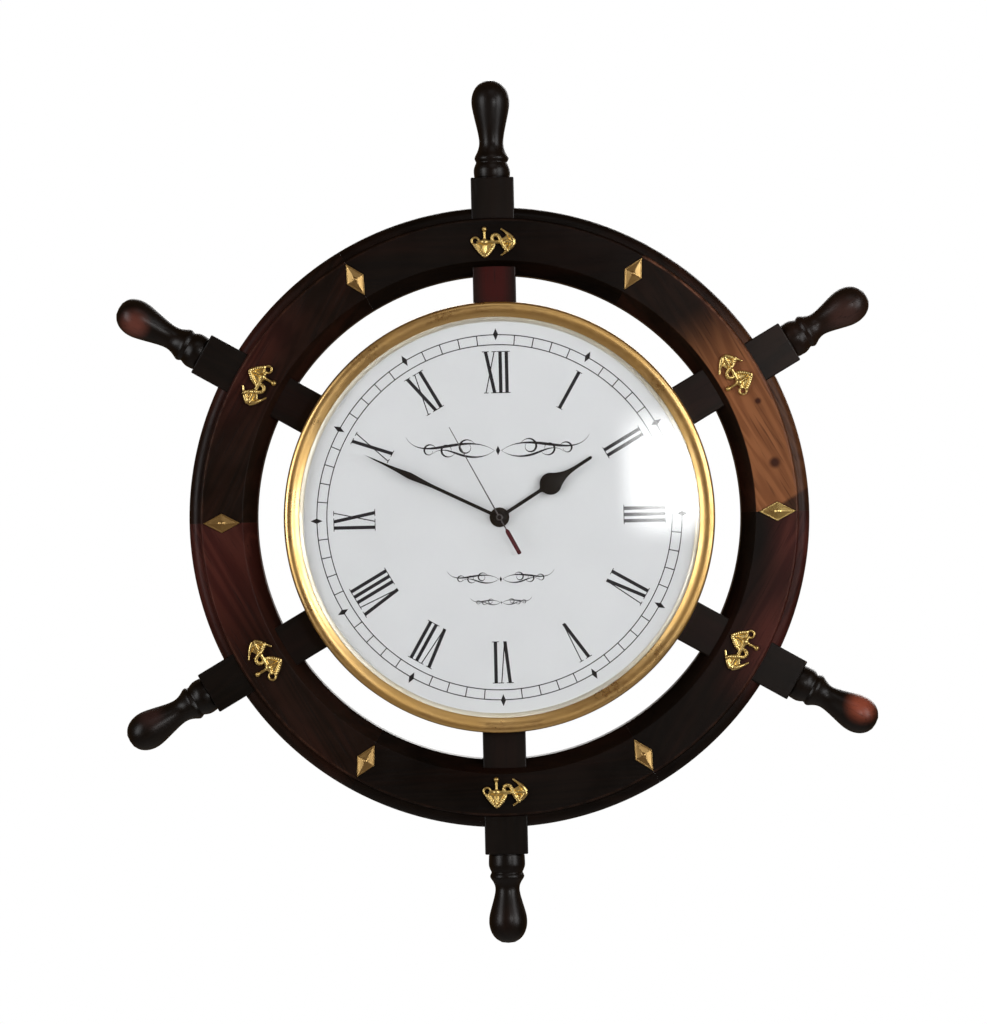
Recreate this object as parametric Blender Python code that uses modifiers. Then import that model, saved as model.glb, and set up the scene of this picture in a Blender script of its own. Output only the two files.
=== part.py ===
"""Wall clock in the form of a ship's steering wheel, 24 inches from handle tip to handle tip.

Everything is drawn in the clock's own drawing frame, in millimetres: X to the right and Y up as a
person facing the dial sees them, and Z as the height above the wall. One empty, clock_frame, stands
that drawing up in the world, with +Z up and the dial facing -Y. The origin is the middle of the
bounding box, on the axis of the hands.
"""

import math

import bmesh
import bpy
from mathutils import Matrix

# ---- Driving dimensions, in millimetres ---------------------------------------------------------
TIP_RADIUS = 305.0          # a 24 inch wheel, before the differences between hand-turned handles
DEPTH = 55.8                # wall to the top of the domed glass
GAP = 0.3                   # clearance that touching pieces keep

SPOKES = 6
TURN = 2 * math.pi / SPOKES

# Wooden wheel
RIM_OUTER = 219.5
RIM_INNER = 171.5
RIM_DEPTH = 32.0
RIM_FACE_OUTER = 210.7      # outer edge of the flat front face
RIM_FACE_INNER = 181.3      # where the inner bevel starts
RIM_BEVEL_BACK = 21.0       # height at which the inner bevel ends
RIM_STEP = 27.2             # height of the ovolo's fillet
RIM_OVOLO_BACK = 19.5
RIM_STEPS = 72

SPOKE_WIDTH = 30.4
SPOKE_DEPTH = 27.5
SPOKE_INNER = 60.3
SPOKE_SHOULDER = 240.4      # where the square part ends and the turned handle starts
SPOKE_CHAMFER = 1.0
HANDLE_STEPS = 12
HANDLE_EXTRA = (4.9, -1.0, -0.5, -3.0, 1.5, 3.0)   # how much further out each hand-turned handle ends
HANDLE_NECK = 255.0         # from here to the swell that difference is spread
HANDLE_SWELL = 285.0

HUB_OUTER = 100.0
HUB_BORE = 46.0
HUB_SLOT_INNER = 60.0

# Brass fittings on the rim
DIAMOND_RADIUS = 196.1
DIAMOND_LENGTH = 26.0
DIAMOND_WIDTH = 13.8
DIAMOND_THICK = 1.8
DIAMOND_POCKET = 1.2
ANCHOR_RADIUS = 194.1
ANCHOR_THICK = 1.8

# Clock head
BOARD_RADIUS = 149.8
BOARD_BACK = 27.8
BOARD_FRONT = 36.7
BOARD_WINDOW = (-29.5, 29.5, -31.0, 28.5)
DIAL_RADIUS = 148.6
DIAL_BACK = 37.0
DIAL_FRONT = 39.0
RING_INNER = 137.8
RING_OUTER = 142.6
RING_FRONT = 41.5
GLASS_RADIUS = 142.8
GLASS_BACK = 41.8
GLASS_THICK = 2.0
GLASS_RISE = DEPTH - GLASS_BACK - GLASS_THICK
BEZEL_RADIUS = 151.7
BEZEL_BACK = 31.0
BEZEL_SHEET = 1.2
BEZEL_TORUS = 3.3
BEZEL_TORUS_HEIGHT = 43.6
BEZEL_LIP = 141.0
CENTRE_HOLE = 4.2           # through the dial, the washers and the nut

# Hands, measured along the hand from its pivot
HAND_THICK = 0.6
HOUR_HAND_BACK = 43.0
MINUTE_HAND_BACK = 45.0
SECONDS_HAND_BACK = 48.0
HOUR_HAND_LENGTH = 77.5
MINUTE_HAND_LENGTH = 104.3
SECONDS_HAND_LENGTH = 72.5
SECONDS_TAIL = 29.6
HOUR_HAND_CLOCKWISE = 58.0  # where the hands stand at rest, in degrees from twelve
MINUTE_HAND_CLOCKWISE = 296.0
SECONDS_HAND_CLOCKWISE = 332.0

# Quartz movement
CASE_HALF_WIDTH = 28.0
CASE_TOP = 27.0
CASE_BOTTOM = -29.5
CASE_BACK = 21.3
CASE_FRONT = 35.7
CASE_WALL = 1.2
BAY_WALL = (-13.2, -12.2)   # between the battery bay and the train
BATTERY_RADIUS = 7.15
BATTERY_LENGTH = 50.5
BATTERY_NUB = 1.2
BATTERY_HEIGHT = 27.05
BATTERY_Y = -20.75
BATTERY_MINUS_X = -24.6

# Train: each layer is (back, front) as heights above the wall
LAYER_INTERMEDIATE = (23.0, 23.9)
LAYER_SECONDS = (24.6, 25.5)
LAYER_THIRD = (26.4, 27.3)
LAYER_MINUTE = (28.3, 29.2)
LAYER_MOTION = (30.4, 31.4)
LAYER_HOUR = (32.4, 33.4)
PLATE_LAYER = (29.5, 30.1)
PIVOT_BACK = 22.1           # where arbors end in the cover's blind holes
ARBOR = 0.5
PIVOT_HOLE = 0.75

PINION_LEAVES = 6
MINUTE_TEETH = 45
THIRD_TEETH = 48
SECONDS_TEETH = 30
INTERMEDIATE_TEETH = 36
CANNON_LEAVES = 10
MOTION_TEETH = 30
MOTION_LEAVES = 8
HOUR_TEETH = 32
TOOTH_TIP = 0.85            # addendum, in modules
TOOTH_ROOT = 1.4            # dedendum, in modules
LEAF_FLAT = 0.05            # half of the tip's width on a pinion's leaf, in pitches

THIRD_DISTANCE = 12.0
THIRD_DIRECTION = math.radians(150)
MOTION_DISTANCE = 13.5
MOTION_DIRECTION = math.radians(15)
INTERMEDIATE_DISTANCE = 9.0
INTERMEDIATE_DIRECTION = math.radians(60)
ROTOR_DISTANCE = 8.4        # from the intermediate wheel's axis
ROTOR_DIRECTION = math.radians(45)
ROTOR_MAGNET = 3.0
ROTOR_MAGNET_LAYER = (26.4, 28.8)

SECONDS_ARBOR_FRONT = 47.8
MINUTE_TUBE = (0.8, 1.5, 46.9)      # bore, outside radius, height of its front end
HOUR_TUBE = (1.8, 2.6, 43.6)
BUSH = (2.9, 3.9, 42.6)

# Hanger on the back of the top spoke
HANGER_WIDTH = 16.0
HANGER_LENGTH = 50.0
HANGER_THICK = 1.5
HANGER_Y = 195.0
HANGER_SCREW_SPREAD = 19.5
KEYHOLE_ENTRY = 4.6
KEYHOLE_SLOT = 2.4
KEYHOLE_RISE = 11.0


# ---- Scene, collections and materials ------------------------------------------------------------
for stale in list(bpy.data.objects):
    bpy.data.objects.remove(stale, do_unlink=True)

MM = 0.001
parts = bpy.data.collections.new("ships_wheel_clock")
cutters = bpy.data.collections.new("cutters")
for collection in (parts, cutters):
    bpy.context.scene.collection.children.link(collection)

clock_frame = bpy.data.objects.new("clock_frame", None)
clock_frame.location = (0, DEPTH / 2 * MM, 0)
clock_frame.rotation_euler = (math.pi / 2, 0, 0)
parts.objects.link(clock_frame)


def material(name, colour, roughness, metallic=0.0, transmission=0.0):
    made = bpy.data.materials.new(name)
    made.use_nodes = True
    shader = made.node_tree.nodes["Principled BSDF"]
    shader.inputs["Base Color"].default_value = (*colour, 1)
    shader.inputs["Roughness"].default_value = roughness
    shader.inputs["Metallic"].default_value = metallic
    shader.inputs["Transmission Weight"].default_value = transmission
    made.diffuse_color = (*colour, 1)
    return made


WOOD = material("stained_wood", (0.035, 0.012, 0.007), 0.3)
NUT_BLACK = material("blackened_brass", (0.03, 0.026, 0.024), 0.4, 1.0)
BOARD = material("board", (0.12, 0.08, 0.05), 0.7)
BRASS = material("brass", (0.72, 0.48, 0.17), 0.22, 1.0)
STEEL = material("steel", (0.55, 0.55, 0.56), 0.35, 1.0)
COPPER = material("copper", (0.70, 0.28, 0.14), 0.4, 1.0)
DIAL_WHITE = material("dial_white", (0.80, 0.81, 0.83), 0.45)
GLASS = material("glass", (0.95, 0.97, 0.97), 0.03, 0.0, 1.0)
HAND_BLACK = material("hand_black", (0.012, 0.012, 0.014), 0.35)
HAND_RED = material("hand_red", (0.10, 0.01, 0.015), 0.4)
CASE_BLACK = material("case_black", (0.02, 0.02, 0.022), 0.5)
NYLON = material("nylon", (0.78, 0.78, 0.74), 0.5)
RUBBER = material("rubber", (0.02, 0.02, 0.02), 0.8)
BOARD_GREEN = material("circuit_green", (0.03, 0.16, 0.07), 0.45)
MAGNET = material("magnet", (0.12, 0.12, 0.13), 0.45, 0.6)
BATTERY_SKIN = material("battery_skin", (0.08, 0.10, 0.16), 0.35)


# ---- Modelling helpers, all in millimetres in the drawing frame --------------------------------
def link(obj, paint, at=(0, 0, 0), turn=(0, 0, 0)):
    """Puts an object in the drawing frame, with its material."""
    obj.parent = clock_frame
    obj.location = [MM * value for value in at]
    obj.rotation_euler = turn
    obj.data.materials.clear()
    obj.data.materials.append(paint)
    parts.objects.link(obj)
    return obj


def polar(radius, angle, centre=(0, 0)):
    return (centre[0] + radius * math.cos(angle), centre[1] + radius * math.sin(angle))


def arc(centre, radius, start, end, steps):
    """Points on a circle, or on an ellipse where radius is a pair, from start to end in degrees."""
    across, up = radius if isinstance(radius, tuple) else (radius, radius)
    angles = [math.radians(start + (end - start) * step / steps) for step in range(steps + 1)]
    return [(centre[0] + across * math.cos(a), centre[1] + up * math.sin(a)) for a in angles]


def circle(radius, steps, centre=(0, 0)):
    return arc(centre, radius, 0, 360, steps)[:-1]


def mirrored(right_side):
    """A closed outline from its right side, listed from bottom to top."""
    return right_side + [(-x, y) for x, y in reversed(right_side) if x > 1e-6]


def baked(obj):
    """The object's evaluated shape as a plain mesh, welded, in the object's own frame."""
    graph = bpy.context.evaluated_depsgraph_get()
    mesh = bpy.data.meshes.new_from_object(obj.evaluated_get(graph))
    work = bmesh.new()
    work.from_mesh(mesh)
    bmesh.ops.remove_doubles(work, verts=work.verts, dist=1e-7)
    bmesh.ops.recalc_face_normals(work, faces=work.faces)
    work.to_mesh(mesh)
    work.free()
    return mesh


def settled(obj):
    """Replaces an object by a plain mesh object in the same place, and hides what it was cut with."""
    mesh = baked(obj)
    name = obj.name
    paint = obj.data.materials[0]
    place = [value / MM for value in obj.location]
    turn = tuple(obj.rotation_euler)
    bpy.data.objects.remove(obj, do_unlink=True)
    plain = bpy.data.objects.new(name, mesh)
    link(plain, paint, place, turn)
    plain.name = name
    return plain


def flat(name, outlines, layer, paint, at=(0, 0), turn=0.0):
    """A flat piece: 2D outlines, holes included, between the two heights of layer."""
    curve = bpy.data.curves.new(name, "CURVE")
    curve.dimensions = "2D"
    curve.fill_mode = "BOTH"
    curve.extrude = MM * (layer[1] - layer[0]) / 2
    for outline in outlines:
        spline = curve.splines.new("POLY")
        spline.points.add(len(outline) - 1)
        for point, (x, y) in zip(spline.points, outline):
            point.co = (MM * x, MM * y, 0, 1)
        spline.use_cyclic_u = True
    obj = bpy.data.objects.new(name, curve)
    link(obj, paint, (at[0], at[1], sum(layer) / 2), (0, 0, turn))
    return settled(obj)


def turned(name, profile, steps, paint, at=(0, 0, 0), turn=(0, 0, 0), closed=True):
    """A turned piece: (radius, height) points, swept about the piece's own Z axis."""
    pairs = list(zip(profile, profile[1:] + profile[:1]))
    if sum(a[0] * b[1] - b[0] * a[1] for a, b in pairs) > 0:
        profile = profile[::-1]
    mesh = bpy.data.meshes.new(name)
    edges = [(i, i + 1) for i in range(len(profile) - 1)]
    if closed and min(radius for radius, _ in profile) > 0:
        edges.append((len(profile) - 1, 0))
    mesh.from_pydata([(MM * radius, 0, MM * height) for radius, height in profile], edges, [])
    obj = bpy.data.objects.new(name, mesh)
    link(obj, paint, at, turn)
    screw = obj.modifiers.new("turn", "SCREW")
    screw.steps = steps
    screw.render_steps = steps
    screw.use_merge_vertices = True
    screw.merge_threshold = 1e-6
    screw.use_smooth_shade = False
    return obj


def block(name, low, high, paint, chamfer=0.0, along=None, segments=1):
    """A box between two corners; chamfer cuts all of its edges, or only those along one axis."""
    work = bmesh.new()
    bmesh.ops.create_cube(work, size=1)
    size = [MM * (h - l) for l, h in zip(low, high)]
    bmesh.ops.scale(work, vec=size, verts=work.verts)
    if chamfer:
        edges = []
        for edge in work.edges:
            length = edge.verts[0].co - edge.verts[1].co
            if along is None or abs(length[along]) > 1e-9:
                edges.append(edge)
        bevel = {"offset": MM * chamfer, "segments": segments, "affect": "EDGES", "profile": 0.5}
        bmesh.ops.bevel(work, geom=edges, **bevel)
    mesh = bpy.data.meshes.new(name)
    work.to_mesh(mesh)
    work.free()
    obj = bpy.data.objects.new(name, mesh)
    return link(obj, paint, [(l + h) / 2 for l, h in zip(low, high)])


def post(name, radius, layer, paint, at=(0, 0), steps=12):
    """An upright cylinder between two heights."""
    work = bmesh.new()
    height = MM * (layer[1] - layer[0])
    bmesh.ops.create_cone(
        work, cap_ends=True, segments=steps, radius1=MM * radius, radius2=MM * radius, depth=height
    )
    mesh = bpy.data.meshes.new(name)
    work.to_mesh(mesh)
    work.free()
    obj = bpy.data.objects.new(name, mesh)
    return link(obj, paint, (at[0], at[1], sum(layer) / 2))


def combine(target, tool, operation):
    boolean = target.modifiers.new(operation.lower(), "BOOLEAN")
    boolean.operation = operation
    boolean.solver = "EXACT"
    boolean.object = tool
    parts.objects.unlink(tool)
    cutters.objects.link(tool)
    tool.hide_render = True
    tool.display_type = "WIRE"
    return target


def cut(target, *tools):
    for tool in tools:
        combine(target, tool, "DIFFERENCE")
    return target


def join(target, *tools):
    for tool in tools:
        combine(target, tool, "UNION")
    return target


def keep(target, tool):
    return combine(target, tool, "INTERSECT")


def smooth(obj, angle=32):
    obj.data.shade_smooth()
    obj.data.set_sharp_from_angle(angle=math.radians(angle))
    return obj


def copy_round(pattern, name, turn, spin=0.0):
    """Another of the same piece, turned clockwise about the clock's axis and then about its own."""
    obj = bpy.data.objects.new(name, pattern.data)
    obj.parent = clock_frame
    obj.location = Matrix.Rotation(-turn, 3, "Z") @ pattern.location
    obj.rotation_euler = (0, 0, pattern.rotation_euler.z - turn - spin)
    parts.objects.link(obj)
    return obj


def ring_of(pattern, base, first_turn=0.0, spins=(0.0,)):
    """Six copies of a finished piece round the wheel, each with the next of the spins."""
    pattern.name = base + "_pattern"
    for index in range(SPOKES):
        spin = spins[index % len(spins)]
        copy_round(pattern, f"{base}_{index + 1}", first_turn + index * TURN, spin)
    bpy.data.objects.remove(pattern, do_unlink=True)


# ---- Wooden wheel -------------------------------------------------------------------------------
def rim_profile():
    ovolo_inner = RIM_FACE_OUTER + 0.8
    ovolo_size = (RIM_OUTER - ovolo_inner, RIM_STEP - RIM_OVOLO_BACK)
    ovolo = arc((ovolo_inner, RIM_OVOLO_BACK), ovolo_size, 0, 90, 3)
    return [
        (RIM_INNER, 0),
        (RIM_OUTER, 0),
        *ovolo,
        (RIM_FACE_OUTER, RIM_DEPTH - 0.8),
        (RIM_FACE_OUTER - 0.8, RIM_DEPTH),
        (RIM_FACE_INNER, RIM_DEPTH),
        (RIM_INNER, RIM_BEVEL_BACK),
    ]


def diamond_outline(grow=0.0):
    half_length = DIAMOND_LENGTH / 2 + 2 * grow
    half_width = DIAMOND_WIDTH / 2 + grow
    return [(0, -half_length), (half_width, 0), (0, half_length), (-half_width, 0)]


def build_felloes():
    """Six rim segments. Each is centred on a spoke and notched from behind to sit over it."""
    felloe = turned("felloe", rim_profile(), RIM_STEPS, WOOD)
    apex = GAP / 2 / math.sin(TURN / 2)
    reach = 2 * RIM_OUTER
    sides = [(side * reach * math.sin(TURN / 2), apex + reach * math.cos(TURN / 2)) for side in (-1, 1)]
    keep(felloe, flat("felloe_wedge", [[(0, apex), *reversed(sides)]], (-5, RIM_DEPTH + 5), WOOD))
    notch = SPOKE_WIDTH / 2 + GAP
    low = (-notch, RIM_INNER - 10, -5)
    high = (notch, RIM_OUTER + 10, SPOKE_DEPTH + GAP)
    cut(felloe, block("felloe_notch", low, high, WOOD))
    for side in (-1, 1):
        centre = polar(DIAMOND_RADIUS, math.pi / 2 - side * TURN / 2)
        layer = (RIM_DEPTH - DIAMOND_POCKET, RIM_DEPTH + 3)
        outline = diamond_outline(GAP)
        pocket = flat(f"diamond_pocket_{side}", [outline], layer, WOOD, centre, -side * TURN / 2)
        cut(felloe, pocket)
    ring_of(smooth(settled(felloe)), "felloe")


def handle_profile(extra):
    """Turned handle as (radius, distance along), its end extra mm beyond the usual place."""
    root = shoulder_of(extra) - 5
    bead_and_collar = [(12.9, 247.4), (11.2, 251.8), (12.1, 254.2), (9.7, 259.8)]
    neck_and_swell = [(8.6, 265.0), (10.3, 275.0), (12.7, 284.2), (13.5, 289.4)]
    end = [(12.6, 295.2), (9.3, 301.4), (0, TIP_RADIUS)]
    turned_part = []
    for radius, along in bead_and_collar + neck_and_swell + end:
        share = min(1, max(0, (along - HANDLE_NECK) / (HANDLE_SWELL - HANDLE_NECK)))
        turned_part.append((radius, along + share * extra))
    return [(0, root), (12.9, root), *turned_part]


def shoulder_of(extra):
    """Where the square part of a spoke ends: a shorter handle was turned on a shorter bar."""
    return SPOKE_SHOULDER + 0.7 * min(0, extra)


def hanger_recess(spoke):
    """Housing for the keyhole plate in the back of a spoke, and the cavity for the nail's head."""
    half = HANGER_WIDTH / 2 + GAP
    reach = HANGER_LENGTH / 2 + GAP
    low = (-half, HANGER_Y - reach, -5)
    high = (half, HANGER_Y + reach, HANGER_THICK + GAP)
    cut(spoke, block("hanger_recess", low, high, WOOD))
    low = (-KEYHOLE_ENTRY - 1, HANGER_Y - KEYHOLE_RISE, 0)
    high = (KEYHOLE_ENTRY + 1, HANGER_Y + KEYHOLE_RISE + 2, 9)
    cut(spoke, block("hanger_cavity", low, high, WOOD))
    for side in (-1, 1):
        place = (0, HANGER_Y + side * HANGER_SCREW_SPREAD)
        cut(spoke, post(f"hanger_screw_hole_{side}", 1.8, (0, 14), WOOD, place))
    return spoke


def build_spokes():
    """Six square bars with turned handles; the top one also holds the hanger plate."""
    half = SPOKE_WIDTH / 2
    for index, extra in enumerate(HANDLE_EXTRA):
        low = (-half, SPOKE_INNER, 0)
        high = (half, shoulder_of(extra), SPOKE_DEPTH)
        spoke = block("spoke_pattern", low, high, WOOD, SPOKE_CHAMFER)
        stand = ((0, 0, SPOKE_DEPTH / 2), (-math.pi / 2, 0, 0))
        handle = turned("handle_pattern", handle_profile(extra), HANDLE_STEPS, WOOD, *stand)
        join(spoke, handle)
        if index == 0:
            hanger_recess(spoke)
        spoke = smooth(settled(spoke))
        copy_round(spoke, f"spoke_{index + 1}", index * TURN)
        bpy.data.objects.remove(spoke, do_unlink=True)


def build_hub_ring():
    """Thick disc at the middle of the wheel, slotted for the spokes, with the movement in its bore."""
    profile = [(HUB_BORE, 0), (HUB_OUTER, 0), (HUB_OUTER, SPOKE_DEPTH), (HUB_BORE, SPOKE_DEPTH)]
    hub = turned("hub_ring", profile, 48, WOOD)
    half = SPOKE_WIDTH / 2 + GAP
    for index in range(SPOKES):
        slot = block(f"hub_slot_{index + 1}", (-half, -30, -5), (half, 30, SPOKE_DEPTH + 5), WOOD)
        x, y = polar(HUB_SLOT_INNER + 30, math.pi / 2 - index * TURN)
        slot.location = (MM * x, MM * y, slot.location.z)
        slot.rotation_euler = (0, 0, -index * TURN)
        cut(hub, slot)
    settled(hub)


# ---- Brass fittings on the rim ------------------------------------------------------------------
def build_diamonds():
    layer = (RIM_DEPTH - DIAMOND_POCKET + GAP, RIM_DEPTH - DIAMOND_POCKET + GAP + DIAMOND_THICK)
    diamond = flat("diamond", [diamond_outline()], layer, BRASS)
    dome = turned("diamond_pin", [(0, -1.0), *arc((0, 0), (1.9, 1.3), 0, 90, 3)], 10, BRASS, (0, 0, layer[1]))
    diamond = settled(join(diamond, dome))
    x, y = polar(DIAMOND_RADIUS, math.pi / 2)
    diamond.location = (MM * x, MM * y, diamond.location.z)
    ring_of(diamond, "diamond", TURN / 2)


def anchor_half():
    """Upper half of a fouled anchor lying along X: ring, stock, shank, arm and fluke."""
    shank = 1.3
    ring = arc((-12.6, 0), 2.9, 180, 35, 3)
    stock = [(-9.4, shank), (-9.4, 7.2), (-7.2, 7.2), (-7.2, shank)]
    inner_arm = arc((3.0, 0), 8.3, 9, 52, 2)
    fluke = [(5.9, 6.2), (2.6, 9.4), (8.0, 10.6), (9.9, 8.6)]
    outer_arm = arc((2.8, 0), 12.2, 40, 0, 3)
    return ring + stock + inner_arm + fluke + outer_arm


def build_anchors():
    """Cast anchors flat on the rim, pointing clockwise and anticlockwise in turn."""
    upper = anchor_half()
    lower = [(x, -y) for x, y in reversed(upper[1:-1])]
    layer = (RIM_DEPTH + GAP, RIM_DEPTH + GAP + ANCHOR_THICK)
    eye = circle(1.3, 6, (-12.9, 0))
    anchor = flat("anchor", [upper + lower, eye], layer, BRASS, (0, ANCHOR_RADIUS))
    ring_of(anchor, "anchor", spins=(0.0, math.pi))


# ---- Clock head ---------------------------------------------------------------------------------
def rectangle(left, right, bottom, top):
    return [(left, bottom), (right, bottom), (right, top), (left, top)]


def dome_height(radius, base):
    """Height of a spherical cap of the glass's radius and rise, above base."""
    sphere = (GLASS_RADIUS**2 + GLASS_RISE**2) / (2 * GLASS_RISE)
    return base + math.sqrt(sphere**2 - radius**2) - (sphere - GLASS_RISE)


def build_glass():
    radii = [GLASS_RADIUS * share for share in (0, 0.35, 0.7, 1)]
    outer = [(radius, dome_height(radius, GLASS_BACK + GLASS_THICK)) for radius in radii]
    inner = [(radius, dome_height(radius, GLASS_BACK)) for radius in reversed(radii)]
    smooth(settled(turned("glass", outer + inner, 48, GLASS)))


def bezel_profile():
    """Outer surface of the spun brass sheet, from the skirt's back edge to the inner lip."""
    torus_middle = BEZEL_RADIUS - BEZEL_TORUS
    torus = arc((torus_middle, BEZEL_TORUS_HEIGHT), BEZEL_TORUS, 0, 160, 4)
    bead = arc((BEZEL_LIP + 1.9, BEZEL_TORUS_HEIGHT + 1.4), 1.9, 40, 150, 2)
    return [(BEZEL_RADIUS, BEZEL_BACK), *torus, *bead, (BEZEL_LIP, BEZEL_TORUS_HEIGHT + 2.2)]


def build_bezel():
    bezel = turned("bezel", bezel_profile(), 48, BRASS, closed=False)
    shell = bezel.modifiers.new("sheet", "SOLIDIFY")
    shell.thickness = MM * BEZEL_SHEET
    shell.offset = -1
    shell.use_even_offset = True
    smooth(settled(bezel))


def build_head():
    board_layer = (BOARD_BACK, BOARD_FRONT)
    flat("backing_board", [circle(BOARD_RADIUS, 60), rectangle(*BOARD_WINDOW)], board_layer, BOARD)
    dial_layer = (DIAL_BACK, DIAL_FRONT)
    flat("dial_plate", [circle(DIAL_RADIUS, 60), circle(CENTRE_HOLE, 12)], dial_layer, DIAL_WHITE)
    ring_layer = (DIAL_FRONT + GAP, RING_FRONT)
    flat("dial_ring", [circle(RING_OUTER, 48), circle(RING_INNER, 48)], ring_layer, BRASS)
    build_glass()
    build_bezel()


# ---- Hands --------------------------------------------------------------------------------------
def clockwise(degrees):
    return -math.radians(degrees)


def hub_arc(radius, neck):
    """Lower part of a hand's round hub, from the bottom up the right side to the hand's neck."""
    end = math.degrees(math.acos(neck / radius))
    return arc((0, 0), radius, -90, end, 7)


def build_hands():
    shank = 1.2
    spade = arc((0, 43), 7.6, -80, 42, 7)
    hour = hub_arc(5.0, shank) + [(shank, 34)] + spade
    hour += [(3.3, 52.0), (1.9, 57.0), (1.2, 63.0), (1.0, HOUR_HAND_LENGTH - 1), (0, HOUR_HAND_LENGTH)]
    layer = (HOUR_HAND_BACK, HOUR_HAND_BACK + HAND_THICK)
    eye = circle(HOUR_TUBE[1] + 0.2, 12)
    flat("hour_hand", [mirrored(hour), eye], layer, HAND_BLACK, turn=clockwise(HOUR_HAND_CLOCKWISE))

    minute = hub_arc(4.0, 1.0)
    minute += [(1.0, 50), (1.6, 60), (2.3, 70), (1.3, 80), (0.6, 92), (0, MINUTE_HAND_LENGTH)]
    layer = (MINUTE_HAND_BACK, MINUTE_HAND_BACK + HAND_THICK)
    eye = circle(MINUTE_TUBE[1] + 0.2, 12)
    flat("minute_hand", [mirrored(minute), eye], layer, HAND_BLACK, turn=clockwise(MINUTE_HAND_CLOCKWISE))

    tail = [(0, -SECONDS_TAIL), (1.2, -SECONDS_TAIL + 0.6), (1.5, -11.0), (0.5, -9.0)]
    hub = arc((0, 0), 2.2, -76, 76, 5)
    needle = tail + hub + [(0.3, SECONDS_HAND_LENGTH - 1), (0, SECONDS_HAND_LENGTH)]
    layer = (SECONDS_HAND_BACK, SECONDS_HAND_BACK + 0.5)
    turn = clockwise(SECONDS_HAND_CLOCKWISE)
    seconds = flat("seconds_hand", [mirrored(needle)], layer, HAND_RED, turn=turn)
    collar_layer = (47.3, SECONDS_HAND_BACK + 0.1)
    collar = flat("seconds_collar", [circle(1.2, 12), circle(0.7, 8)], collar_layer, HAND_RED)
    settled(join(seconds, collar))

    bore = MINUTE_TUBE[1] + 0.25
    nut = [(bore, 45.9), (2.6, 45.9), (2.6, 46.6), (2.0, 47.1), (bore, 47.1)]
    turned("minute_hand_nut", nut, 12, NUT_BLACK)


# ---- Movement: wheels and pinions ---------------------------------------------------------------
def gear_outline(teeth, module, phase):
    """Straight-sided teeth with V-shaped spaces; phase is the angle of one tooth's middle.

    A wheel's teeth come to a point. A pinion's leaves are thicker and end in a flat.
    """
    tip = teeth * module / 2 + TOOTH_TIP * module
    root = teeth * module / 2 - TOOTH_ROOT * module
    pitch = 2 * math.pi / teeth
    flats = (-LEAF_FLAT, LEAF_FLAT) if teeth <= CANNON_LEAVES else (0,)
    outline = []
    for tooth in range(teeth):
        outline += [polar(tip, phase + (tooth + flat_edge) * pitch) for flat_edge in flats]
        outline.append(polar(root, phase + (tooth + 0.5) * pitch))
    return outline


def meshing_phase(teeth, direction, other_teeth, other_phase):
    """Phase of a gear that meshes with another, which lies in the direction from the other to it."""
    other_place = (direction - other_phase) / (2 * math.pi / other_teeth)
    pitch = 2 * math.pi / teeth
    return direction + math.pi - pitch * (0.5 - other_place)


THIRD_AXIS = polar(THIRD_DISTANCE, THIRD_DIRECTION)
MOTION_AXIS = polar(MOTION_DISTANCE, MOTION_DIRECTION)
INTERMEDIATE_AXIS = polar(INTERMEDIATE_DISTANCE, INTERMEDIATE_DIRECTION)
ROTOR_AXIS = polar(ROTOR_DISTANCE, ROTOR_DIRECTION, INTERMEDIATE_AXIS)

MINUTE_MODULE = 2 * THIRD_DISTANCE / (MINUTE_TEETH + PINION_LEAVES)
THIRD_MODULE = 2 * THIRD_DISTANCE / (THIRD_TEETH + PINION_LEAVES)
SECONDS_MODULE = 2 * INTERMEDIATE_DISTANCE / (SECONDS_TEETH + PINION_LEAVES)
INTERMEDIATE_MODULE = 2 * ROTOR_DISTANCE / (INTERMEDIATE_TEETH + PINION_LEAVES)
CANNON_MODULE = 2 * MOTION_DISTANCE / (CANNON_LEAVES + MOTION_TEETH)
HOUR_MODULE = 2 * MOTION_DISTANCE / (MOTION_LEAVES + HOUR_TEETH)


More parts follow.
